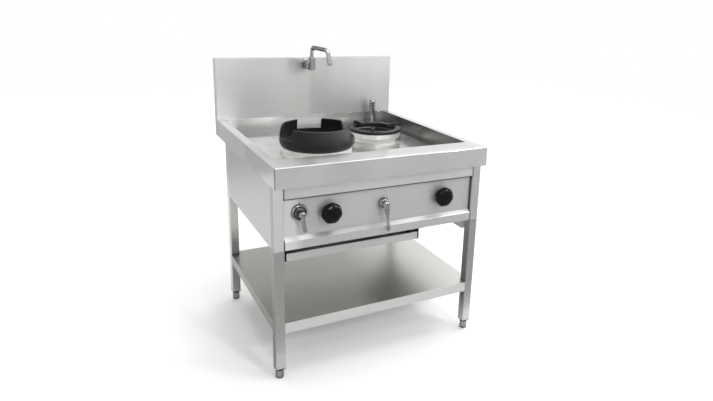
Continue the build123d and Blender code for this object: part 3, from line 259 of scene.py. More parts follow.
class Tree:
    """Short calls for building a node tree."""

    def __init__(self, tree: bpy.types.NodeTree) -> None:
        """Keeps the tree that the calls work on."""
        self.tree = tree

    def add(self, kind: str, **inputs: object) -> bpy.types.Node:
        """Adds a node and sets or links its inputs.

        Args:
            kind: the node's type name.
            inputs: values or sockets by input name, with spaces written as underscores.

        Returns:
            The new node.
        """
        return self.fill(self.tree.nodes.new(kind), **inputs)

    def group(self, group: bpy.types.NodeTree, **inputs: object) -> bpy.types.Node:
        """Adds a shared group and sets or links its inputs, named as for add."""
        node = self.tree.nodes.new("ShaderNodeGroup")
        node.node_tree = group
        return self.fill(node, **inputs)

    def fill(self, node: bpy.types.Node, **inputs: object) -> bpy.types.Node:
        """Sets or links inputs of a node, named as for add, and gives the node back."""
        for name, value in inputs.items():
            self.put(node, name.replace("_", " "), value)
        return node

    def join(self, kind: str, *inputs: object) -> bpy.types.NodeSocket:
        """Adds a node, fills its inputs in their order and gives its first output."""
        node = self.tree.nodes.new(kind)
        for number, value in enumerate(inputs):
            self.put(node, number, value)
        return node.outputs[0]

    def put(self, node: bpy.types.Node, socket: str | int, value: object) -> None:
        """Sets an input to a value, or links a socket to it.

        Args:
            node: the node that owns the input.
            socket: the input's name or number.
            value: a plain value or an output socket.
        """
        target = node.inputs[socket]
        if isinstance(value, bpy.types.NodeSocket):
            self.tree.links.new(value, target)
        else:
            target.default_value = value

    def math(self, operation: str, a: object, b: object = 0.0) -> bpy.types.NodeSocket:
        """One Math node: the operation on a and b.

        Args:
            operation: the Math node's operation.
            a: first value or socket.
            b: second value or socket.

        Returns:
            The result's socket.
        """
        node = self.tree.nodes.new("ShaderNodeMath")
        node.operation = operation
        self.put(node, 0, a)
        self.put(node, 1, b)
        return node.outputs[0]

    def ramp(self, value: bpy.types.NodeSocket, low: float, high: float, to_low: float,
             to_high: float) -> bpy.types.NodeSocket:
        """Maps a value from one range to another, held at the ends.

        Args:
            value: the socket to map.
            low: start of the first range.
            high: end of the first range.
            to_low: result at low.
            to_high: result at high.

        Returns:
            The mapped socket.
        """
        return self.join("ShaderNodeMapRange", value, low, high, to_low, to_high)

    def blend(self, factor: object, first: object, second: object) -> bpy.types.NodeSocket:
        """Mixes two colours.

        Args:
            factor: share of the second colour.
            first: colour or socket.
            second: colour or socket.

        Returns:
            The mixed colour's socket.
        """
        node = self.tree.nodes.new("ShaderNodeMix")
        node.data_type = "RGBA"
        for socket, value in ((0, factor), (6, first), (7, second)):
            if isinstance(value, tuple):
                value = (*value, 1.0)
            self.put(node, socket, value)
        return node.outputs[2]


class Effects:
    """Shared shader node groups, each built once."""

    _groups: dict[str, bpy.types.NodeTree] = {}

    @classmethod
    def _new(cls, name: str, inputs: dict[str, str],
             outputs: dict[str, str]) -> tuple[Tree, bpy.types.Node, bpy.types.Node]:
        """Starts a group with named sockets.

        Args:
            name: the group's name.
            inputs: socket types by input name.
            outputs: socket types by output name.

        Returns:
            The group's tree helper, its input node and its output node.
        """
        group = bpy.data.node_groups.new(name, "ShaderNodeTree")
        for label, kind in inputs.items():
            group.interface.new_socket(name=label, in_out="INPUT", socket_type=kind)
        for label, kind in outputs.items():
            group.interface.new_socket(name=label, in_out="OUTPUT", socket_type=kind)
        cls._groups[name] = group
        return Tree(group), group.nodes.new("NodeGroupInput"), group.nodes.new("NodeGroupOutput")

    @classmethod
    def grain(cls) -> bpy.types.NodeTree:
        """Brushed lines and broad clouds: noise on squeezed coordinates, and noise on plain ones."""
        if "brushed grain" not in cls._groups:
            tree, start, end = cls._new(
                "brushed grain",
                {"Position": "NodeSocketVector", "Squeeze": "NodeSocketVector",
                 "Fineness": "NodeSocketFloat", "Cloud size": "NodeSocketFloat"},
                {"Lines": "NodeSocketFloat", "Clouds": "NodeSocketFloat"})
            squeeze = tree.tree.nodes.new("ShaderNodeVectorMath")
            squeeze.operation = "MULTIPLY"
            tree.put(squeeze, 0, start.outputs["Position"])
            tree.put(squeeze, 1, start.outputs["Squeeze"])
            lines = tree.add("ShaderNodeTexNoise", Vector=squeeze.outputs[0],
                             Scale=start.outputs["Fineness"], Detail=3.0, Roughness=0.65)
            clouds = tree.add("ShaderNodeTexNoise", Vector=start.outputs["Position"],
                              Scale=start.outputs["Cloud size"], Detail=2.0, Roughness=0.5)
            tree.fill(end, Lines=lines.outputs[0], Clouds=clouds.outputs[0])
        return cls._groups["brushed grain"]

    @classmethod
    def soft_edge(cls) -> bpy.types.NodeTree:
        """Rounded normal at edges, a mask of those edges, and a mask of closed-in seams where shade is
        painted.
        """
        if "soft edge" not in cls._groups:
            tree, start, end = cls._new(
                "soft edge", {"Seam reach": "NodeSocketFloat"},
                {"Normal": "NodeSocketVector", "Edge": "NodeSocketFloat", "Seam": "NodeSocketFloat"})
            bevel = tree.add("ShaderNodeBevel", Radius=EDGE_RADIUS)
            bevel.samples = 6
            true_normal = tree.tree.nodes.new("ShaderNodeNewGeometry")
            dot = tree.tree.nodes.new("ShaderNodeVectorMath")
            dot.operation = "DOT_PRODUCT"
            tree.put(dot, 0, bevel.outputs[0])
            tree.put(dot, 1, true_normal.outputs["Normal"])
            closed = tree.add("ShaderNodeAmbientOcclusion", Distance=start.outputs["Seam reach"])
            closed.samples = 12
            tree.fill(end, Normal=bevel.outputs[0], Edge=tree.ramp(dot.outputs["Value"], 1.0, 0.8, 0.0, 1.0),
                      Seam=tree.ramp(closed.outputs["AO"], 0.9, 0.5, 0.0, 1.0))
        return cls._groups["soft edge"]

    @classmethod
    def casting(cls) -> bpy.types.NodeTree:
        """Sand-cast skin: fine grit, wider dimples and their sum as a height."""
        if "cast skin" not in cls._groups:
            tree, start, end = cls._new(
                "cast skin", {"Position": "NodeSocketVector", "Grit": "NodeSocketFloat"},
                {"Height": "NodeSocketFloat", "Dust": "NodeSocketFloat"})
            grit = tree.add("ShaderNodeTexNoise", Vector=start.outputs["Position"],
                            Scale=start.outputs["Grit"], Detail=4.0, Roughness=0.6)
            dimples = tree.add("ShaderNodeTexVoronoi", Vector=start.outputs["Position"], Scale=260.0)
            dust = tree.add("ShaderNodeTexNoise", Vector=start.outputs["Position"], Scale=22.0, Detail=5.0,
                            Roughness=0.7)
            height = tree.math("MULTIPLY", dimples.outputs[0], 0.25)
            tree.fill(end, Height=tree.math("ADD", grit.outputs[0], height),
                      Dust=tree.ramp(dust.outputs[0], 0.45, 0.75, 0.0, 1.0))
        return cls._groups["cast skin"]


def new_material(name: str) -> tuple[bpy.types.Material, Tree, bpy.types.Node, bpy.types.NodeSocket]:
    """Starts a material with its Principled shader.

    Args:
        name: the material's name.

    Returns:
        The material, its tree helper, the shader and the object coordinates' socket.
    """
    material = bpy.data.materials.new(name)
    material.use_nodes = True
    tree = Tree(material.node_tree)
    shader = material.node_tree.nodes["Principled BSDF"]
    position = material.node_tree.nodes.new("ShaderNodeTexCoord").outputs["Object"]
    return material, tree, shader, position


@dataclass(frozen=True)
class Zone:
    """Part of a sheet with another tint, used mostly for painted shade, light and reflections: a box with
    soft sides, in object coordinates.
    """
    tint: Color
    share: float
    x: Span = (None, None)
    y: Span = (None, None)
    z: Span = (None, None)
    soft: float = 0.8 * MM
    soft_across: float | None = None

    def mask(self, tree: Tree, position: bpy.types.NodeSocket) -> bpy.types.NodeSocket:
        """Multiplies one ramp for each side that is given; a side of None stays open.

        Args:
            tree: the material's tree helper.
            position: the object coordinates' socket.

        Returns:
            The mask's socket, from 0 outside to the share inside.
        """
        parts = tree.add("ShaderNodeSeparateXYZ", Vector=position)
        across = self.soft if self.soft_across is None else self.soft_across
        result: object = self.share
        spans = (self.x, self.y, self.z)
        for value, (low, high), soft in zip(parts.outputs, spans, (across, self.soft, self.soft)):
            if low is not None:
                result = tree.math("MULTIPLY", tree.ramp(value, low - soft, low, 0.0, 1.0), result)
            if high is not None:
                result = tree.math("MULTIPLY", tree.ramp(value, high, high + soft, 1.0, 0.0), result)
        return result


@dataclass(frozen=True)
class Steel:
    """Stainless steel, brushed in one direction or turned."""
    name: str
    color: Color = (0.60, 0.60, 0.59)
    shade: Color = (0.54, 0.54, 0.535)
    roughness: float = 0.26
    spread: float = 0.08
    grain: Grain = Grain.ALONG_X
    fineness: float = 900.0
    depth: float = 0.04
    clouds: float = 3.0
    drawn_out: float = 0.0
    metallic: float = 1.0
    # share of painted shade in closed-in seams and corners
    seams: float = 0.95
    seam_reach: float = 18 * MM
    # share of painted dark reflection where the surface turns away towards its outline
    dark_rim: float = 0.0
    zones: tuple[Zone, ...] = ()

    def material(self) -> bpy.types.Material:
        """Lines vary colour, roughness and bump, clouds colour and roughness; edges get a painted highlight.
        """
        material, tree, shader, position = new_material(self.name)
        grain = tree.group(Effects.grain(), Position=position, Squeeze=self.grain.value,
                           Fineness=self.fineness, Cloud_size=self.clouds)
        edge = tree.group(Effects.soft_edge(), Seam_reach=self.seam_reach)
        lines, clouds = grain.outputs["Lines"], grain.outputs["Clouds"]
        mixed = tree.math("ADD", tree.math("MULTIPLY", lines, 0.6), tree.math("MULTIPLY", clouds, 0.4))
        color = tree.blend(tree.ramp(mixed, 0.35, 0.65, 0.0, 1.0), self.shade, self.color)
        # painted highlight: edges are brightened towards a light grey
        edge_highlight = tree.math("MULTIPLY", edge.outputs["Edge"], 0.5)
        bright = tree.blend(edge_highlight, color, EDGE_HIGHLIGHT)
        # painted shade: closed-in seams and corners are darkened towards near black
        seam_shade_share = tree.math("MULTIPLY", edge.outputs["Seam"], self.seams)
        result = tree.blend(seam_shade_share, bright, SEAM_SHADE)
        for zone in self.zones:
            result = tree.blend(zone.mask(tree, position), result, zone.tint)
        # painted dark reflection: surfaces darken where they turn away towards the outline
        if self.dark_rim:
            facing = tree.add("ShaderNodeLayerWeight", Blend=0.5).outputs["Facing"]
            result = tree.blend(tree.ramp(facing, 0.25, 0.80, 0.0, self.dark_rim), result, DARK_RIM_REFLECTION)
        tree.put(shader, "Base Color", result)
        shader.inputs["Metallic"].default_value = self.metallic
        rough = tree.math("ADD", tree.math("MULTIPLY", lines, 0.5), tree.math("MULTIPLY", clouds, 0.5))
        tree.put(shader, "Roughness", tree.ramp(rough, 0.3, 0.7, self.roughness - self.spread / 2,
                                                self.roughness + self.spread / 2))
        if self.drawn_out:
            tangent = tree.add("ShaderNodeTangent")
            tangent.direction_type = "RADIAL"
            tangent.axis = "Z"
            tree.put(shader, "Tangent", tangent.outputs[0])
            shader.inputs["Anisotropic"].default_value = self.drawn_out
            shader.inputs["Anisotropic Rotation"].default_value = 0.25
        bump = tree.add("ShaderNodeBump", Height=lines, Strength=self.depth, Distance=0.3 * MM,
                        Normal=edge.outputs["Normal"])
        tree.put(shader, "Normal", bump.outputs[0])
        return material


@dataclass(frozen=True)
class CastIron:
    """Cast iron, either matt black or burnt grey."""
    name: str
    color: Color = (0.009, 0.009, 0.0095)
    dusted: Color = (0.024, 0.024, 0.025)
    roughness: float = 0.48
    grit: float = 700.0
    depth: float = 0.35

    def material(self) -> bpy.types.Material:
        """Grit makes the bump, dust lightens the colour and edges are a little brighter."""
        material, tree, shader, position = new_material(self.name)
        skin = tree.group(Effects.casting(), Position=position, Grit=self.grit)
        edge = tree.group(Effects.soft_edge(), Seam_reach=12 * MM)
        color = tree.blend(skin.outputs["Dust"], self.color, self.dusted)
        edge_tone = tree.math("MULTIPLY", edge.outputs["Edge"], 0.4)
        tree.put(shader, "Base Color", tree.blend(edge_tone, color, IRON_EDGE_TONE))
        tree.put(shader, "Roughness", tree.ramp(skin.outputs["Dust"], 0.0, 1.0, self.roughness,
                                                self.roughness + 0.15))
        shader.inputs["Specular IOR Level"].default_value = 0.35
        bump = tree.add("ShaderNodeBump", Height=skin.outputs["Height"], Strength=self.depth,
                        Distance=0.25 * MM, Normal=edge.outputs["Normal"])
        tree.put(shader, "Normal", bump.outputs[0])
        return material


@dataclass(frozen=True)
class Moulded:
    """Moulded plastic, glossy or matt."""
    name: str
    color: Color = (0.006, 0.006, 0.007)
    roughness: float = 0.16
    depth: float = 0.03
    gloss: float = 0.5

    def material(self) -> bpy.types.Material:
        """Fine orange-peel bump, with faint hand marks in the gloss."""
        material, tree, shader, position = new_material(self.name)
        peel = tree.add("ShaderNodeTexNoise", Vector=position, Scale=380.0, Detail=2.0)
        marks = tree.add("ShaderNodeTexNoise", Vector=position, Scale=45.0, Detail=4.0, Roughness=0.6)
        tint = tree.ramp(marks.outputs[0], 0.4, 0.7, 0.0, 0.6)
        lighter = tuple(min(1.0, c * 1.8 + 0.002) for c in self.color)
        tree.put(shader, "Base Color", tree.blend(tint, self.color, lighter))
        tree.put(shader, "Roughness", tree.ramp(marks.outputs[0], 0.35, 0.7, self.roughness,
                                                self.roughness + 0.06))
        shader.inputs["Specular IOR Level"].default_value = self.gloss
        bump = tree.add("ShaderNodeBump", Height=peel.outputs[0], Strength=self.depth, Distance=0.2 * MM)
        tree.put(shader, "Normal", bump.outputs[0])
        return material


@dataclass(frozen=True)
class Pipework:
    """Copper, brass or painted pipe: tarnish in clouds, and soft edges."""
    name: str
    color: Color
    tarnish: Color
    metallic: float = 1.0
    roughness: float = 0.32

    def material(self) -> bpy.types.Material:
        """Clouds of tarnish change colour and roughness."""
        material, tree, shader, position = new_material(self.name)
        grain = tree.group(Effects.grain(), Position=position, Squeeze=Grain.TURNED.value,
                           Fineness=420.0, Cloud_size=18.0)
        edge = tree.group(Effects.soft_edge(), Seam_reach=12 * MM)
        amount = tree.ramp(grain.outputs["Clouds"], 0.4, 0.65, 0.0, 1.0)
        tree.put(shader, "Base Color", tree.blend(amount, self.color, self.tarnish))
        tree.put(shader, "Roughness", tree.ramp(amount, 0.0, 1.0, self.roughness, self.roughness + 0.2))
        shader.inputs["Metallic"].default_value = self.metallic
        bump = tree.add("ShaderNodeBump", Height=grain.outputs["Lines"], Strength=0.08, Distance=0.2 * MM,
                        Normal=edge.outputs["Normal"])
        tree.put(shader, "Normal", bump.outputs[0])
        return material


Finish = Steel | CastIron | Moulded | Pipework
made_materials: dict[str, bpy.types.Material] = {}


def material_of(finish: Finish) -> bpy.types.Material:
    """Makes a finish's material the first time, and gives the same one after that."""
    if finish.name not in made_materials:
        made_materials[finish.name] = finish.material()
    return made_materials[finish.name]


def dress(finish: Finish, *names: str) -> None:
    """Puts a finish in every material slot of some solids.

    Args:
        finish: their finish.
        names: the solids' nodes.
    """
    material = material_of(finish)
    for name in names:
        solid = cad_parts[name]
        if not solid.material_slots:
            solid.data.materials.append(material)
        for slot in solid.material_slots:
            slot.material = material
        log.info("%s dressed in %s", name, material.name)


def panel_face() -> float:
    """Where the control panel's face stands on Y, behind its lip's front."""
    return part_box("control_panel")[0][1] + 16 * MM


COPPER = Pipework("copper_tube", (0.80, 0.42, 0.27), (0.42, 0.24, 0.16))
BRASS = Pipework("machined_brass", (0.80, 0.62, 0.30), (0.55, 0.42, 0.20))
PAINTED_PIPE = Pipework("painted_pipe", (0.36, 0.37, 0.36), (0.26, 0.27, 0.26), metallic=0.0, roughness=0.45)
SHEET = Steel("brushed_sheet", drawn_out=0.3, roughness=0.34, metallic=0.8)
SATIN = Steel("satin_turned", grain=Grain.TURNED, color=(0.56, 0.56, 0.55), shade=(0.44, 0.44, 0.44),
              roughness=0.16, fineness=500.0, depth=0.02, dark_rim=1.0,
              zones=(Zone(SHADOW, 0.85, z=(889 * MM, 893 * MM)),))


# ------------------------------------------------------------------ lines and places that pieces share
def line_length(line: Array) -> float:
    """Length of a line of points."""
    return float(np.linalg.norm(np.diff(line, axis=0), axis=1).sum())


def evenly(line: Array, count: int) -> Array:
    """Spreads points evenly along a flat line: both coordinates follow the length run so far.

    Args:
        line: rows of two coordinates.
        count: number of points wanted.

    Returns:
        The new points.
    """
    run = np.concatenate([[0.0], np.cumsum(np.linalg.norm(np.diff(line, axis=0), axis=1))])
    at = np.linspace(0.0, run[-1], count)
    return np.stack([np.interp(at, run, line[:, 0]), np.interp(at, run, line[:, 1])], axis=-1)


def out_of_panel(points: Array, foot: Sequence[float]) -> Array:
    """Places points whose local z leads from a foot on the panel out to the cook."""
    return placed(points, foot, (1, 0, 0), (0, 0, 1), (0, -1, 0))


def hanging(points: Array, top: Sequence[float], tilt: float) -> Array:
    """Places points whose local z leads up along a lever that hangs from its top, tilted to the right."""
    return placed(points, top, (math.cos(tilt), 0.0, math.sin(tilt)), (0, 1, 0),
                  (-math.sin(tilt), 0.0, math.cos(tilt)))


def lever_hub(radius: float, deep: float, stem: float, swell: float, bevel: float) -> Array:
    """A lever's turned hub: a thin stem, a swelling to the full radius, and a bevelled front.

    Args:
        radius: the hub's radius.
        deep: its whole depth out of the panel.
        stem: length of the thin stem.
        swell: length over which it grows to the full radius.
        bevel: depth of the bevel at the front.

    Returns:
        A grid of points about the local Z axis.
    """
    stem_radius = 5 * MM
    profile = rounded_line(
        [(0, 0), (stem_radius, 0), (stem_radius, stem), (radius - 2 * MM, stem + 0.5 * MM),
         (radius, stem + swell), (radius, deep - bevel), (radius - 5 * MM, deep), (0, deep)],
        np.array([0, 0, 0, 1, 1.5, 4, 5, 0]) * MM, steps=8)
    return lathe(profile, 72)


# ------------------------------------------------------------------ the object's own pieces
@dataclass
class GasKnob:
    """Scalloped gas knob: skirt, waist, lobed grip and domed front."""
    side: str
    skirt_radius: float = 29 * MM
    skirt_height: float = 5 * MM
    neck_radius: float = 26 * MM
    neck_start: float = 11 * MM
    neck_end: float = 13.5 * MM
    grip_radius: float = 40.5 * MM
    grip_start: float = 17 * MM
    face_radius: float = 23 * MM
    lobes: int = 7
    bite: float = 0.035
    around: int = 280
    spacing: float = 0.8 * MM

    def build(self, material: bpy.types.Material) -> bpy.types.Object:
        """Radius at angle a is r (1 - bite w(s) c(a)), where c is a narrow cosine hollow for each lobe.

        Args:
            material: the knob's finish.

        Returns:
            The knob's object.
        """
        low, high = (np.array(corner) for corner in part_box(f"knob_{self.side}"))
        deep = high[1] - low[1]
        line = rounded_line(
            [(0.0, 0.0), (self.skirt_radius, 0.0), (self.skirt_radius, self.skirt_height),
             (self.neck_radius, self.neck_start), (self.neck_radius, self.neck_end),
             (self.grip_radius, self.grip_start), (self.grip_radius, deep - 15 * MM),
             (self.grip_radius - 5 * MM, deep - 8 * MM), (self.face_radius, deep - 2 * MM), (0.0, deep)],
            np.array([0, 1.2, 1.5, 2.5, 2, 3, 6, 6, 9, 0]) * MM, steps=9)
        line = evenly(line, int(line_length(line) / self.spacing))
        r, along = line[None, :, 0], line[None, :, 1]
        angles = np.linspace(0.0, 2 * np.pi, self.around, endpoint=False)[:, None]
        phase = angles - np.pi / 2 - np.pi / self.lobes
        hollow = (0.5 + 0.5 * np.cos(self.lobes * phase)) ** 2.2
        share = smooth_step((along - 13 * MM) / (6 * MM)) * smooth_step((r - 17 * MM) / (16 * MM))
        radius = r * (1 - self.bite * share * hollow)
        grid = np.stack([radius * np.cos(angles), radius * np.sin(angles),
                         np.broadcast_to(along, radius.shape)], axis=-1)
        grid = out_of_panel(grid, ((low[0] + high[0]) / 2, high[1], (low[2] + high[2]) / 2))
        piece = Skin(f"gas_knob_{self.side}").add(grid).make(60.0)
        return keep_piece(piece, material, f"knob_{self.side}", "knob_plastic", f"knob_{self.side}")


@dataclass
class RinseLever:
    """Rod lever on a round hub."""
    centre_x: float = -346 * MM
    hub_radius: float = 13 * MM
    rod_radius: float = 7.5 * MM
    neck_radius: float = 6.2 * MM
    rod_stand_off: float = 32 * MM
    length: float = 68 * MM
    tilt: float = math.radians(9.3)

    def build(self, material: bpy.types.Material) -> bpy.types.Object:
        """A turned hub that faces the cook, and a turned rod that hangs from it at the tilt.

        Args:
            material: the lever's finish.

        Returns:
            The lever's object.
        """
        low, high = (np.array(corner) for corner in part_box("rinse_lever"))
        centre_z = high[2] - self.hub_radius
        hub = lever_hub(self.hub_radius, high[1] - low[1], stem=25 * MM, swell=4 * MM, bevel=6 * MM)
        hub = out_of_panel(hub, (self.centre_x, high[1], centre_z))
        rod = rounded_line([(0, self.rod_radius * 0.4), (self.neck_radius, 0), (self.neck_radius, -12 * MM),
                            (self.rod_radius, -18 * MM), (self.rod_radius, -self.length), (0, -self.length)],
                           np.array([0, 0, 2, 4, 3.2, 0]) * MM, steps=9)
        rod_y = panel_face() - self.rod_stand_off
        bar = hanging(lathe(rod, 56), (self.centre_x, rod_y, centre_z), self.tilt)
        piece = Skin("rinse_lever_rod").add(hub).add(bar).make(50.0)
        return keep_piece(piece, material, "rinse_lever", "tap_chrome", "rinse_lever")


@dataclass
class TapLever:
    """Flat lever with a broad head, a waist and a round end; widths are (distance, half width) in mm."""
    centre_x: float = -5 * MM
    hub_radius: float = 15 * MM
    thickness: float = 8 * MM
    blade_stand_off: float = 34 * MM
    length: float = 110 * MM
    tilt: float = math.radians(6.8)
    widths: tuple[tuple[float, float], ...] = ((0.0, 8.0), (8.0, 11.2), (30.0, 10.8), (44.0, 6.3),
                                               (68.0, 5.4), (90.0, 6.2), (101.0, 7.8), (110.0, 7.9))

    def build(self, material: bpy.types.Material) -> bpy.types.Object:
        """A turned hub, and a blade that hangs from it.

        Args:
            material: the lever's finish.

        Returns:
            The lever's object.
        """
        low, high = (np.array(corner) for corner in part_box("tap_lever"))
        centre_z = high[2] - self.hub_radius
        hub = lever_hub(self.hub_radius, high[1] - low[1], stem=36 * MM, swell=3 * MM, bevel=5 * MM)
        hub = out_of_panel(hub, (self.centre_x, high[1], centre_z))
        blade_y = panel_face() - self.blade_stand_off
        blade = hanging(self._blade(), (self.centre_x, blade_y, centre_z), self.tilt)
        piece = Skin("tap_lever_blade").add(hub).add(blade, close_rows=False, close_columns=True).make(50.0)
        return keep_piece(piece, material, "tap_lever", "tap_chrome", "tap_lever")

    def _blade(self) -> Array:
        """Half width w(s) follows the table; sections are rounded rectangles; the end closes as a circle.

        Returns:
            A grid of points that starts at one point in the hub and runs down the local Z axis.
        """
        s = np.concatenate([np.linspace(0.0, self.length * 0.97, 80),
                            self.length * (1 - 0.03 * np.linspace(1, 0, 14)[1:] ** 2)])
        table = rounded_line(np.array(self.widths) * MM, 9 * MM, 9)
        tip_radius = self.widths[-1][1] * MM
        end = np.clip((s - (self.length - tip_radius)) / tip_radius, 0.0, 1.0)
        width = np.interp(s, table[:, 0], table[:, 1]) * np.sqrt(np.maximum(1 - end ** 2, 0.0))
        thick = self.thickness / 2 * (0.62 + 0.38 * smooth_step((s - 30 * MM) / (60 * MM)))
        thick = thick * np.sqrt(np.maximum(1 - end ** 4, 0.0))
        a = np.linspace(0, 2 * np.pi, 48, endpoint=False)[None, :]
        u = width[:, None] * np.sign(np.cos(a)) * np.abs(np.cos(a)) ** 0.7
        v = thick[:, None] * np.sign(np.sin(a)) * np.abs(np.sin(a)) ** 0.62
        blade = np.stack([u, v, np.broadcast_to(-s[:, None], u.shape)], axis=-1)
        return np.concatenate([np.zeros((1, *blade.shape[1:])), blade], axis=0)


@dataclass
class Rosette:
    """Round trim behind a lever, turned about the line out of the panel; corners (radius, height) in mm."""
    name: str
    node: str
    corners: tuple[tuple[float, float], ...]
    rounding: float = 1.5 * MM

    def build(self, material: bpy.types.Material) -> bpy.types.Object:
        """A closed ring section, rounded at its corners and turned.

        Args:
            material: the trim's finish.

        Returns:
            The trim's object.
        """
        low, high = (np.array(corner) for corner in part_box(self.node))
        section = rounded_line(np.array(self.corners) * MM, self.rounding, 6, closed=True)
        grid = out_of_panel(lathe(section, 112), ((low[0] + high[0]) / 2, high[1], (low[2] + high[2]) / 2))
        piece = Skin(self.name).add(grid, close_columns=True).make(50.0)
        return keep_piece(piece, material, ROOT_BODY, "tap_chrome", self.node)


@dataclass
class WokRing:
    """Cast wok ring: bulged wall whose top edge drops in notches, each from one angle to another."""
    centre: tuple[float, float] = (-143 * MM, -68 * MM)
    base: float = 816 * MM
    height: float = 88 * MM
    notch_height: float = 44 * MM
    notches: tuple[tuple[float, float], ...] = ((62.0, 105.5), (170.0, 208.6), (314.0, 382.0))
    wall: float = 8 * MM
    lip_rounding: float = 2 * MM
    seat_reach: float = 143 * MM
    around: int = 900

    def build(self, material: bpy.types.Material) -> bpy.types.Object:
        """Sections (radius, height) all round: outside up, lip over, inside down and the seat back out.

        Args:
            material: the casting's finish.

        Returns:
            The ring's object.
        """
        bulge = rounded_line(np.array([(0, 146), (9, 154), (23, 158), (55, 155.5), (88, 148)]) * MM,
                             14 * MM, 12)
        angles = np.linspace(0, 360, self.around, endpoint=False)
        top = self._top(angles)[:, None]
        rise = np.linspace(0.0, 1.0, 26)[None, :]
        foot = 9 * MM
        inner_foot = 7 * MM
        out_z = np.concatenate([np.broadcast_to(np.linspace(0.0, foot, 6)[:-1], (self.around, 5)),
                                foot + (top - foot - self.lip_rounding) * rise], axis=1)
        out_r = np.interp(out_z, bulge[:, 0], bulge[:, 1])
        arc = np.linspace(0, 1, 13)[None, 1:-1]
        lip_r = np.interp(top, bulge[:, 0], bulge[:, 1]) - self.wall * arc
        lip_z = top - self.lip_rounding * np.abs(2 * arc - 1) ** 3.2
        in_z = inner_foot + (top - inner_foot - self.lip_rounding) * rise[:, ::-1]
        in_r = np.interp(in_z, bulge[:, 0], bulge[:, 1]) - self.wall
        in_r = np.where(in_z < 2 * inner_foot, np.minimum(in_r, self.seat_reach), in_r)
        seat = rounded_line(np.array([(141, 7), (118, 7), (118, 0), (137, 0), (137, -8), (143, -8), (143, 0),
                                      (145.6, 0)]) * MM, 1.5 * MM, 5)
        seat_r, seat_z = (np.broadcast_to(column, (self.around, len(seat))) for column in seat.T)
        radius = np.concatenate([out_r, lip_r, in_r, seat_r], axis=1)
        z = np.concatenate([out_z, lip_z, in_z, seat_z], axis=1)
        turn = np.radians(angles)[:, None]
        grid = np.stack([self.centre[0] + radius * np.cos(turn), self.centre[1] + radius * np.sin(turn),
                         self.base + z], axis=-1)
        piece = Skin("wok_ring_casting").add(grid, close_columns=True).make(38.0)
        return keep_piece(piece, material, "wok_ring", "ring_iron", "wok_ring")

    def _top(self, angles: Array) -> Array:
        """The top edge h(a): full height, stepping down smoothly over 1.9 degrees at each notch's ends.

        Args:
            angles: degrees round the ring.

        Returns:
            The height at each angle.
        """
        drop = np.zeros_like(angles)
        for start, end in self.notches:
            middle, half = (start + end) / 2, (end - start) / 2
            away = np.abs((angles - middle + 180) % 360 - 180)
            drop = np.maximum(drop, smooth_step((half + 0.6 - away) / 1.9))
        return self.height - (self.height - self.notch_height) * drop


@dataclass
class PanSupport:
    """Cast ring with three fingers."""
    centre: tuple[float, float] = (224 * MM, 128 * MM)
    base: float = 816 * MM
    first_finger: float = 239.0
    fingers: int = 3
    width: float = 10 * MM

    def build(self, material: bpy.types.Material) -> bpy.types.Object:
        """A turned ring section, and fingers that are flat outlines with rounded edges on both sides.

        Args:
            material: the casting's finish.

        Returns:
            The support's object.
        """
        ring = rounded_line(np.array([(124, 0), (126, 3), (126, 16), (97, 16), (97, 0), (113, 0), (113, -8),
                                      (119, -8), (119, 0)]) * MM,
                            np.array([1, 2, 6.5, 6.5, 3, 1, 1.5, 1.5, 0.5]) * MM, 8, closed=True)
        skin = Skin("pan_support_casting")
        skin.add(lathe(ring, 200) + np.array([*self.centre, self.base]), close_columns=True)
        finger = self._finger()
        for number in range(self.fingers):
            turn = math.radians(self.first_finger + 360 / self.fingers * number)
            skin.add(placed(finger, (*self.centre, self.base), (math.cos(turn), math.sin(turn), 0),
                            (-math.sin(turn), math.cos(turn), 0), (0, 0, 1)),
                     close_rows=False, close_columns=True)
        return keep_piece(skin.make(45.0), material, "pan_support", "ring_iron", "pan_support")

    def _finger(self) -> Array:
        """One finger along local x: copies of its outline, shrunk to its middle, stacked across its width.

        Returns:
            A grid of points, layer by outline.
        """
        outline = rounded_line(np.array([(121, 4), (121, 29), (112, 33), (62, 21), (62, 12), (97, 4)]) * MM,
                               np.array([1, 4, 7, 3.2, 3.2, 6]) * MM, 8, closed=True)
        middle = outline.mean(axis=0)
        half = self.width / 2
        scale = np.array([0.0, 0.955, 0.99, 1.0, 1.0, 0.99, 0.955, 0.0])[:, None]
        across = np.array([-half, -half, 0.6 * MM - half, 1.8 * MM - half,
                           half - 1.8 * MM, half - 0.6 * MM, half, half])[:, None]
        x = middle[0] + (outline[None, :, 0] - middle[0]) * scale
        z = middle[1] + (outline[None, :, 1] - middle[1]) * scale
        return np.stack([x, np.broadcast_to(across, x.shape), z], axis=-1)


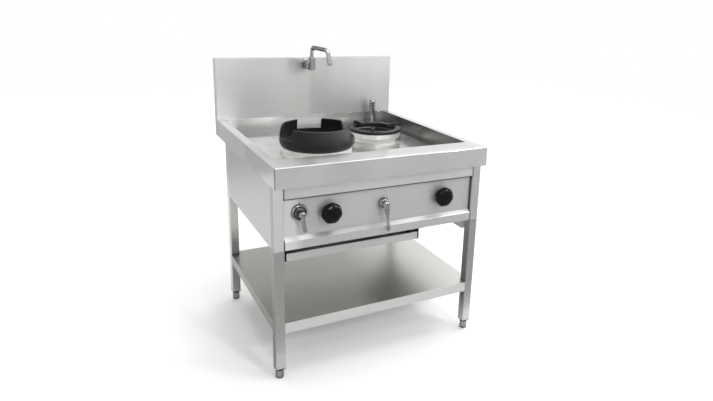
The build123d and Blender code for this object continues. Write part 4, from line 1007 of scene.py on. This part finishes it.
@dataclass
class Spout:
    """Swan-neck spout tube with its wall and a turned lip at the outlet."""
    pivot: tuple[float, float] = (-20 * MM, 317 * MM)
    radius: float = 9.74 * MM
    wall: float = 1.25 * MM
    turn: float = math.radians(2.0)
    corners: tuple[tuple[float, float], ...] = ((0, 1106), (0, 1192), (178, 1192), (203, 1130))
    bends: tuple[float, float] = (24 * MM, 38 * MM)

    def build(self, material: bpy.types.Material) -> bpy.types.Object:
        """A circle carried along the path, outside going out and inside coming back, closed at both ends.

        Args:
            material: the tube's finish.

        Returns:
            The spout's object.
        """
        path = self._path()
        ahead = np.array([math.sin(self.turn), -math.cos(self.turn), 0.0])
        side = np.array([math.cos(self.turn), math.sin(self.turn), 0.0])
        line = np.array([*self.pivot, 0.0]) + path[:, :1] * ahead + path[:, 1:] * np.array([0, 0, 1.0])
        outside = carried(circle(self.radius, 48), line, side)
        inside = carried(circle(self.radius - self.wall, 48), line, side)
        lip = np.array([line[-1] + (outside[-1] - line[-1]) * share for share in (0.97, 0.93)])
        rows = np.concatenate([outside, lip, inside[::-1]], axis=0)
        piece = Skin("spout_tube").add(rows, close_rows=True, close_columns=True).make(40.0)
        return keep_piece(piece, material, "spout", "spout_steel", "tap_spout")

    def _path(self) -> Array:
        """Straight runs joined by true arcs: centre + radius (cos, sin) between the two tangent points.

        Returns:
            The path's points, as distance ahead and height.
        """
        corners = np.array(self.corners) * MM
        runs = [corners[:1]]
        for before, at, after, radius in zip(corners, corners[1:], corners[2:], self.bends):
            to_before = (before - at) / np.linalg.norm(before - at)
            to_after = (after - at) / np.linalg.norm(after - at)
            half = math.acos(float(np.clip(to_before @ to_after, -1, 1))) / 2
            toward = (to_before + to_after) / np.linalg.norm(to_before + to_after)
            centre = at + toward * radius / math.sin(half)
            first = at + to_before * radius / math.tan(half) - centre
            last = at + to_after * radius / math.tan(half) - centre
            angle = math.acos(float(np.clip(first @ last / radius ** 2, -1, 1)))
            t = np.linspace(0, 1, 22)[:, None]
            arc = (np.sin((1 - t) * angle) * first + np.sin(t * angle) * last) / math.sin(angle)
            runs.append(centre + arc)
        runs.append(corners[-1:])
        return evenly(np.concatenate(runs), 130)


@dataclass
class IndexMarks:
    """Small dark dots over the controls."""
    height: float = 701 * MM
    across: tuple[float, ...] = (-345 * MM, -228 * MM, 0.0, 268 * MM)
    radius: float = 2.1 * MM
    rise: float = 0.25 * MM
    sunk: float = 0.02 * MM

    def build(self, material: bpy.types.Material) -> bpy.types.Object:
        """Each dot is a low dome: height falls as 1 - (r / R)^4.

        Args:
            material: the ink's finish.

        Returns:
            The dots' object.
        """
        r = np.linspace(0, 1, 8)
        dome = np.stack([r * self.radius, self.rise * (1 - r ** 4)], axis=-1)
        skin = Skin("index_marks")
        for x in self.across:
            skin.add(out_of_panel(lathe(dome, 24), (x, panel_face() - self.sunk, self.height)))
        return keep_piece(skin.make(60.0), material, ROOT_BODY, "panel_steel")


# ------------------------------------------------------------------ sub-assemblies
@dataclass
class Stand:
    """Legs with their end caps and screw feet, and the undershelf; the burner rails share its sheet."""
    corners: tuple[str, ...] = ("front_left", "front_right", "rear_left", "rear_right")
    thread: Span = (34 * MM, 50 * MM)
    sole: float = 6 * MM

    def build(self) -> None:
        """Dresses every piece of the stand."""
        dress(self._tube(), *(f"leg_{corner}" for corner in self.corners))
        dress(self._sheet(), "undershelf", "burner_rails")
        dress(self._polish(), *(f"foot_{corner}" for corner in self.corners))
        dress(Moulded("dark_cap", color=(0.02, 0.02, 0.021), roughness=0.45, depth=0.08), "leg_end_caps")

    @staticmethod
    def _tube() -> Steel:
        """Steel of the legs; the front ones carry painted reflections, darker and brighter, and painted
        shade on the right leg's inner face.
        """
        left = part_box("leg_front_left")
        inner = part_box("leg_front_right")[0][0]
        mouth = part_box("control_panel")[0][2]
        behind = left[1][1] + 6 * MM
        zones = (Zone((0.015,) * 3, 0.97, x=(inner - 9 * MM, inner + 1.5 * MM), z=(None, mouth + 2 * MM)),
                 Zone((0.95, 0.95, 0.94), 0.75, x=(None, left[1][0] + 9 * MM), y=(None, behind),
                      z=(mouth + 2 * MM, None), soft=10 * MM),
                 Zone((0.42, 0.42, 0.41), 0.75, y=(None, behind), z=(None, mouth - 1 * MM)),
                 Zone((0.66, 0.66, 0.65), 0.7, y=(None, behind), z=(None, 80 * MM), soft=160 * MM),
                 Zone((0.20, 0.20, 0.195), 0.75, x=(None, left[0][0] + 0.6 * MM), y=(None, behind)))
        return Steel("brushed_tube", grain=Grain.ALONG_Z, color=(0.70, 0.70, 0.69),
                     shade=(0.64, 0.64, 0.635), depth=0.01, spread=0.04, zones=zones)

    @staticmethod
    def _sheet() -> Steel:
        """Steel of the shelf: a painted reflection darkens it towards the left, and a painted highlight lies
        on the front fold.
        """
        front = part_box("undershelf")[0][1]
        return Steel("shelf_sheet", color=(0.60, 0.60, 0.585), shade=(0.54, 0.54, 0.52), roughness=0.30,
                     depth=0.03, metallic=0.85, seams=0.6,
                     zones=(Zone((0.30, 0.30, 0.275), 0.75, x=(None, 20 * MM), soft=240 * MM),
                            Zone((0.84, 0.84, 0.83), 0.9, y=(None, front + 0.8 * MM))))

    def _polish(self) -> Steel:
        """Polished steel of the feet, black at the thread and with painted shade at the sole."""
        return Steel("polished_foot", color=(0.44,) * 3, shade=(0.30,) * 3, roughness=0.10,
                     grain=Grain.TURNED, fineness=300.0, depth=0.01, clouds=20.0, dark_rim=0.95,
                     zones=(Zone((0.02,) * 3, 0.95, z=self.thread),
                            Zone((0.05,) * 3, 0.8, z=(None, self.sole))))


@dataclass
class Body:
    """Panels, front rail, pipe duct and drip tray, with the marks over the controls."""
    gap_line: float = 3.2 * MM

    def build(self) -> None:
        """Dresses the body's sheets and prints the marks."""
        low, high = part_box("control_panel")
        ends = (Zone(SHADOW, 0.9, x=(low[0], low[0] + self.gap_line)),
                Zone(SHADOW, 0.9, x=(high[0] - self.gap_line, high[0])))
        dress(self._panel(low, high, ends), "control_panel")
        dress(self._rail(ends), "front_rail")
        dress(SHEET, "back_panel", "backsplash_cover", "drip_tray")
        dress(Steel("brushed_side", grain=Grain.ALONG_Y, drawn_out=0.4, roughness=0.34, metallic=0.9),
              "side_panel_left", "side_panel_right", "pipe_duct", "tray_runners")
        IndexMarks().build(material_of(Moulded("mark_ink", color=(0.03,) * 3, roughness=0.5)))

    def _panel(self, low: Sequence[float], high: Sequence[float], ends: tuple[Zone, ...]) -> Steel:
        """Steel of the control panel: painted reflected light at the left and painted highlights on the
        ledge, a painted shadow line on top.

        Args:
            low: the panel's low corner.
            high: its high corner.
            ends: painted shadow lines where the panel meets the legs.

        Returns:
            The finish.
        """
        ledge = (low[2] + 33 * MM, low[2] + 45 * MM)
        zones = (Zone((0.80, 0.80, 0.79), 0.6, x=(None, low[0] + 39 * MM), z=(None, high[2] - 8 * MM),
                      soft=40 * MM),
                 Zone((0.95, 0.95, 0.94), 0.6, x=(None, low[0] + 69 * MM), z=ledge, soft_across=80 * MM),
                 Zone((0.85, 0.85, 0.84), 0.6, x=(high[0] - 289 * MM, None), z=ledge, soft_across=160 * MM),
                 Zone(SHADOW, 0.92, z=(high[2] - self.gap_line, high[2] + 1 * MM)))
        return Steel("brushed_panel", color=(0.50, 0.50, 0.495), shade=(0.44, 0.44, 0.435), drawn_out=0.2,
                     roughness=0.36, metallic=0.5, seams=0.35, zones=zones + ends)

    @staticmethod
    def _rail(ends: tuple[Zone, ...]) -> Steel:
        """Steel of the front rail, with painted shadow lines along its lower edge and at both ends."""
        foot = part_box("front_rail")[0][2]
        return Steel("brushed_rail", color=(0.68, 0.68, 0.67), shade=(0.60, 0.60, 0.595), drawn_out=0.3,
                     roughness=0.33, metallic=0.8,
                     zones=(Zone(SHADOW, 0.92, z=(foot - 1 * MM, foot + 2.5 * MM)), *ends))


@dataclass
class Deck:
    """Welded deck pan, backsplash and what sits in the gutter."""
    corner_line: float = 2.6 * MM
    skirt_line: float = 741.2 * MM

    def build(self) -> None:
        """Dresses the deck's pieces."""
        dress(self._upstand(), "backsplash")
        dress(self._pan(), "deck_pan")
        dress(SATIN, "rinse_pipe", "drain_outlet", "drain_strainer", "cover_screws")

    @staticmethod
    def _upstand() -> Steel:
        """Steel of the backsplash: a painted reflection of the spout, a painted dark reflection band beside
        it and painted shade over the right part.
        """
        zones = (Zone((0.52, 0.51, 0.49), 0.5, x=(-0.06, 0.0), z=(0.84, 1.11), soft=20 * MM),
                 Zone((0.34, 0.35, 0.34), 0.55, x=(0.02, 0.10), z=(0.84, 1.12), soft=30 * MM),
                 Zone((0.42,) * 3, 0.8, x=(0.12, None), soft=20 * MM))
        return Steel("brushed_upstand", color=(0.55, 0.55, 0.545), shade=(0.50, 0.50, 0.495), drawn_out=0.3,
                     roughness=0.38, metallic=0.7, seams=0.25, zones=zones)

    def _pan(self) -> Steel:
        """Steel of the pan: painted shade on the right wall, painted shadow lines at the front left corner
        and the skirt's foot; painted light and painted shade on the floor.
        """
        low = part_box("deck_pan")[0]
        floor = (0.70, 0.83)
        zones = (Zone((0.16, 0.16, 0.155), 0.85, x=(0.395, 0.432), y=(-0.40, 0.413), z=(0.70, 0.8482)),
                 Zone(SHADOW, 0.7, x=(None, low[0] + self.corner_line),
                      y=(None, low[1] + self.corner_line), z=(None, 0.849)),
                 Zone(SHADOW, 0.85, z=(0.70, self.skirt_line)),
                 Zone((0.95, 0.95, 0.94), 0.6, x=(-0.415, 0.10), y=(-0.05, 0.40), z=floor, soft=60 * MM),
                 Zone((0.34, 0.34, 0.33), 0.6, x=(0.02, 0.39), y=(-0.42, 0.06), z=floor, soft=50 * MM))
        return Steel("deck_sheet", color=(0.65, 0.65, 0.64), shade=(0.58, 0.58, 0.575), roughness=0.18,
                     depth=0.008, clouds=5.0, metallic=0.75, seams=0.35, zones=zones)


@dataclass
class Burners:
    """Both burners: collars, castings inside them, the wok ring and the pan support."""

    def build(self) -> None:
        """Dresses the collars and the inner castings, and casts the two supports."""
        dress(Steel("heated_steel", color=(0.92, 0.91, 0.88), shade=(0.80, 0.78, 0.75), roughness=0.34,
                    grain=Grain.TURNED, fineness=420.0, depth=0.03, clouds=14.0, metallic=0.6, seams=0.1),
              *(f"burner_collar_{side}" for side in SIDES))
        dress(CastIron("burner_casting", color=(0.02,) * 3, dusted=(0.05, 0.046, 0.042), roughness=0.6),
              *(f"{piece}_{side}" for piece in ("burner_head", "burner_cap", "fire_bowl") for side in SIDES),
              "mixing_tubes")
        black = (0.006, 0.006, 0.0065)
        WokRing().build(material_of(CastIron("ring_casting", color=black, dusted=(0.016, 0.016, 0.017))))
        PanSupport().build(material_of(CastIron("pan_casting", color=black, dusted=(0.018, 0.018, 0.019))))


@dataclass
class GasSystem:
    """Knobs, valves and pipes of the gas, with pilots and thermocouples."""

    def build(self) -> None:
        """Turns both knobs and dresses the valves and pipes."""
        gloss = Moulded("gloss_black", color=(0.003, 0.003, 0.0032), roughness=0.10, gloss=0.16)
        for side in SIDES:
            GasKnob(side).build(material_of(gloss))
            dress(BRASS, f"gas_valve_{side}", f"valve_stem_{side}")
        dress(BRASS, "gas_injectors", "pilot_burners")
        dress(PAINTED_PIPE, "gas_manifold", "gas_supply_pipe")
        dress(COPPER, "burner_gas_pipes", "thermocouples")


@dataclass
class WaterSystem:
    """Both levers with their trims, the tap and its spout, and the water pipes."""
    escutcheon: tuple[tuple[float, float], ...] = (
        (8.1, 0), (31.5, 0), (31.5, 4), (28.5, 9), (24.5, 9), (20.5, 4), (14, 4), (12, 8), (8.1, 8))
    boss: tuple[tuple[float, float], ...] = (
        (8.1, 0), (21, 0), (21, 3), (19, 5), (19, 17), (16, 19.4), (8.1, 19.4))

    def build(self) -> None:
        """Makes levers, trims and spout, and dresses the tap, the pipes and the valves."""
        chrome = material_of(Steel(
            "polished_chrome", color=(0.62,) * 3, shade=(0.20,) * 3, roughness=0.08, grain=Grain.TURNED,
            fineness=300.0, depth=0.008, clouds=25.0, seams=1.0, seam_reach=14 * MM, dark_rim=0.95))
        RinseLever().build(chrome)
        TapLever().build(chrome)
        Rosette("rinse_rosette", "rinse_escutcheon", self.escutcheon).build(chrome)
        Rosette("tap_boss", "tap_lever_boss", self.boss).build(chrome)
        Spout().build(material_of(Steel(
            "spout_steel", color=(0.46, 0.46, 0.455), shade=(0.38, 0.38, 0.375), roughness=0.22, spread=0.06,
            grain=Grain.TURNED, fineness=500.0, depth=0.02, seam_reach=8 * MM, dark_rim=1.0)))
        dress(Steel("bright_plate", color=(0.58,) * 3, shade=(0.22,) * 3, roughness=0.08, grain=Grain.TURNED,
                    fineness=300.0, depth=0.01, clouds=20.0, seam_reach=8 * MM, dark_rim=0.9),
              "tap_body", "tap_nut")
        dress(COPPER, "water_manifold", "rinse_feed_pipe", "tap_feed_pipe")
        dress(BRASS, "water_valves")


# ------------------------------------------------------------------ studio
def linked(name: str, data: bpy.types.ID) -> bpy.types.Object:
    """Makes an object of its data and links it to the scene."""
    thing = bpy.data.objects.new(name, data)
    bpy.context.scene.collection.objects.link(thing)
    return thing


def aimed(direction: Sequence[float]) -> Matrix:
    """The turn that points a lamp along a direction."""
    return Vector(direction).to_track_quat("-Z", "Y").to_matrix().to_4x4()


@dataclass
class Studio:
    """Pale floor, soft lamps, background and the camera."""
    floor_size: float = 14.0
    frame_width: int = 713
    frame_height: int = 401
    focal_pixels: float = 584.4
    principal: tuple[float, float] = (395.9, 162.4)
    camera_at: tuple[float, float, float] = (-1011.9 * MM, -2328.1 * MM, 1409.9 * MM)
    yaw: float = math.radians(29.0)
    pitch: float = math.radians(-15.3)
    roll: float = math.radians(2.2)

    def build(self) -> None:
        """Builds the whole studio."""
        self._floor()
        self._background()
        self._sun()
        self._lamp("right_softbox", (2.0, -2.3, 2.5), (0.0, -0.4, 0.7), (0.35, 0.45), 18.0)
        self._lamp("left_softbox", (-2.6, -2.4, 2.4), (-0.2, -0.4, 0.7), (0.5, 1.2), 5.0)
        self._lamp("front_softbox", (0.5, -3.0, 2.1), (0.0, -0.42, 0.65), (0.35, 0.35), 30.0)
        for name, start, end, span, level in (
                ("bright_card", (2.3, 4.6), (5.6, 3.1), (1.62, 4.62), 1.15),
                ("grey_card", (-2.6, 4.9), (1.9, 4.9), (1.62, 4.62), 0.85),
                ("front_card", (-3.2, -5.6), (6.4, -5.6), (0.0, 3.4), 0.62),
                ("left_card", (-4.6, -5.2), (-4.6, 1.5), (0.0, 2.6), 0.48),
                ("right_card", (5.2, -5.0), (5.2, -0.5), (0.0, 2.2), 0.55),
                ("window_card", (-0.36, -2.7), (0.24, -2.7), (1.62, 2.02), 22.0),
                ("lamp_card", (1.38, -1.90), (1.58, -1.76), (1.66, 1.86), 170.0),
                ("side_lamp_card", (2.30, -0.75), (2.36, -0.50), (0.95, 1.25), 90.0)):
            self._card(name, self._standing(start, end, *span), level)
        for name, corners, height, level in (
                ("front_ground", ((-1.4, -0.6), (3.2, -0.6), (4.5, -4.6), (-2.2, -4.6)), 0.003, 0.60),
                ("back_ground", ((-3.6, 2.2), (-0.5, 2.2), (-0.5, 5.0), (-3.6, 5.0)), 0.003, 0.50),
                ("dark_band_left", ((0.16, -1.4), (0.36, -1.4), (1.63, -4.0), (1.25, -4.0)), 0.005, 0.40),
                ("dark_band_right", ((0.66, -1.4), (0.91, -1.4), (2.70, -4.0), (2.21, -4.0)), 0.005, 0.52)):
            self._card(name, self._lying(corners, height), level)
        self._camera()

    @staticmethod
    def _sun() -> None:
        """A wide soft sun from above, a little behind at the right: even light and the floor's shadow."""
        data = bpy.data.lights.new("overhead_light", "SUN")
        data.energy = 2.3
        data.angle = math.radians(62)
        linked("overhead_light", data).matrix_world = aimed((-0.30, -0.16, -1.0))

    @staticmethod
    def _standing(start: Sequence[float], end: Sequence[float], foot: float, top: float) -> Array:
        """Corners of an upright card over the floor line from start to end, from foot to top."""
        return np.array([(*start, foot), (*end, foot), (*end, top), (*start, top)], dtype=float)

    @staticmethod
    def _lying(corners: Sequence[Sequence[float]], height: float) -> Array:
        """Corners of a flat card from its (x, y) corners and its height."""
        return np.array([(*corner, height) for corner in corners], dtype=float)

    @staticmethod
    def _card(name: str, corners: Array, level: float) -> None:
        """Puts up a grey card that only mirrored rays meet.

        Args:
            name: the card's name.
            corners: its four corners in order.
            level: its grey, 1 being the white background.
        """
        mesh = bpy.data.meshes.new(name)
        mesh.from_pydata(corners.tolist(), [], [(0, 1, 2, 3)])
        card = linked(name, mesh)
        material = bpy.data.materials.new(name)
        material.use_nodes = True
        tree = Tree(material.node_tree)
        material.node_tree.nodes.remove(material.node_tree.nodes["Principled BSDF"])
        position = tree.add("ShaderNodeTexCoord").outputs["Object"]
        soft = tree.add("ShaderNodeTexNoise", Vector=position, Scale=0.9, Detail=1.0)
        glow = tree.add("ShaderNodeEmission", Strength=1.0,
                        Color=tree.blend(soft.outputs[0], (level * 0.9,) * 3, (level * 1.1,) * 3))
        tree.put(material.node_tree.nodes["Material Output"], "Surface", glow.outputs[0])
        mesh.materials.append(material)
        card.visible_camera = False
        card.visible_diffuse = False
        card.visible_shadow = False
        card.visible_transmission = False

    @staticmethod
    def _lamp(name: str, at: Sequence[float], toward: Sequence[float], size: Sequence[float],
              power: float) -> None:
        """Adds a rectangular lamp that mirrored rays miss; the cards stand in for it there.

        Args:
            name: the lamp's name.
            at: its place.
            toward: the point that it faces.
            size: its width and height.
            power: its watts.
        """
        data = bpy.data.lights.new(name, "AREA")
        data.shape = "RECTANGLE"
        data.size, data.size_y = size
        data.energy = power
        lamp = linked(name, data)
        lamp.matrix_world = Matrix.Translation(at) @ aimed(Vector(toward) - Vector(at))
        lamp.visible_glossy = False

    def _floor(self) -> None:
        """A wide flat floor that turns to plain white where nothing shades it."""
        half = self.floor_size / 2
        across = np.linspace(-half, half, 3)
        x, y = np.meshgrid(across, across, indexing="ij")
        grid = np.stack([x, y, np.zeros_like(x)], axis=-1)
        mesh = bpy.data.meshes.new("studio_floor")
        mesh.from_pydata(grid.reshape(-1, 3).tolist(), [],
                         [(0, 3, 4, 1), (1, 4, 5, 2), (3, 6, 7, 4), (4, 7, 8, 5)])
        floor = linked("studio_floor", mesh)
        material, tree, shader, position = new_material("pale_floor")
        speckle = tree.add("ShaderNodeTexNoise", Vector=position, Scale=8.0, Detail=3.0)
        tree.put(shader, "Base Color",
                 tree.blend(speckle.outputs[0], (0.80, 0.80, 0.795), (0.82, 0.82, 0.815)))
        shader.inputs["Roughness"].default_value = 0.9
        shader.inputs["Specular IOR Level"].default_value = 0.0
        glow = tree.add("ShaderNodeEmission", Color=(1.0, 1.0, 0.99, 1.0), Strength=0.20)
        both = tree.join("ShaderNodeAddShader", shader.outputs[0], glow.outputs[0])
        path = tree.add("ShaderNodeLightPath")
        seen = tree.math("MAXIMUM", path.outputs["Is Camera Ray"], path.outputs["Is Transmission Ray"])
        tree.put(material.node_tree.nodes["Material Output"], "Surface",
                 tree.join("ShaderNodeMixShader", seen, shader.outputs[0], both))
        mesh.materials.append(material)

    @staticmethod
    def _background() -> None:
        """White where it is seen or mirrored, and a plain grey sky for the diffuse light."""
        world = bpy.data.worlds.new("studio_world")
        bpy.context.scene.world = world
        world.use_nodes = True
        tree = Tree(world.node_tree)
        world.node_tree.nodes.clear()
        seen_white = tree.add("ShaderNodeBackground", Color=(1.0, 1.0, 0.995, 1.0), Strength=1.0)
        sky = tree.add("ShaderNodeBackground", Color=(0.99, 1.0, 1.0, 1.0), Strength=0.45)
        path = tree.add("ShaderNodeLightPath")
        mirrored = tree.math("MAXIMUM", path.outputs["Is Glossy Ray"], path.outputs["Is Transmission Ray"])
        seen = tree.math("MAXIMUM", path.outputs["Is Camera Ray"], mirrored)
        tree.add("ShaderNodeOutputWorld",
                 Surface=tree.join("ShaderNodeMixShader", seen, sky.outputs[0], seen_white.outputs[0]))

    def _camera(self) -> None:
        """The camera at the photograph's angle, from yaw, pitch and roll, with the frame's small shift."""
        cy, sy, cp, sp = math.cos(self.yaw), math.sin(self.yaw), math.cos(self.pitch), math.sin(self.pitch)
        forward = Vector((sy * cp, cy * cp, sp))
        right = Vector((cy, -sy, 0.0))
        up = right.cross(forward)
        cr, sr = math.cos(self.roll), math.sin(self.roll)
        tilted_right = right * cr + up * sr
        tilted_up = up * cr - right * sr
        data = bpy.data.cameras.new("photo_camera")
        data.sensor_width = 36.0
        data.lens = self.focal_pixels / self.frame_width * data.sensor_width
        data.shift_x = -(self.principal[0] - self.frame_width / 2) / self.frame_width
        data.shift_y = (self.principal[1] - self.frame_height / 2) / self.frame_width
        data.clip_end = 60.0
        camera = linked("photo_camera", data)
        camera.matrix_world = Matrix((
            (tilted_right.x, tilted_up.x, -forward.x, self.camera_at[0]),
            (tilted_right.y, tilted_up.y, -forward.y, self.camera_at[1]),
            (tilted_right.z, tilted_up.z, -forward.z, self.camera_at[2]),
            (0.0, 0.0, 0.0, 1.0)))
        bpy.context.scene.camera = camera
        bpy.context.scene.view_settings.view_transform = "Standard"


def main() -> None:
    """Builds the studio and each sub-assembly in turn."""
    logging.basicConfig(level=logging.INFO, format="%(name)s: %(message)s")
    for assembly in (Studio(), Stand(), Body(), Deck(), Burners(), GasSystem(), WaterSystem()):
        assembly.build()
        log.info("%s built", type(assembly).__name__)


if __name__ == "__main__":
    main()
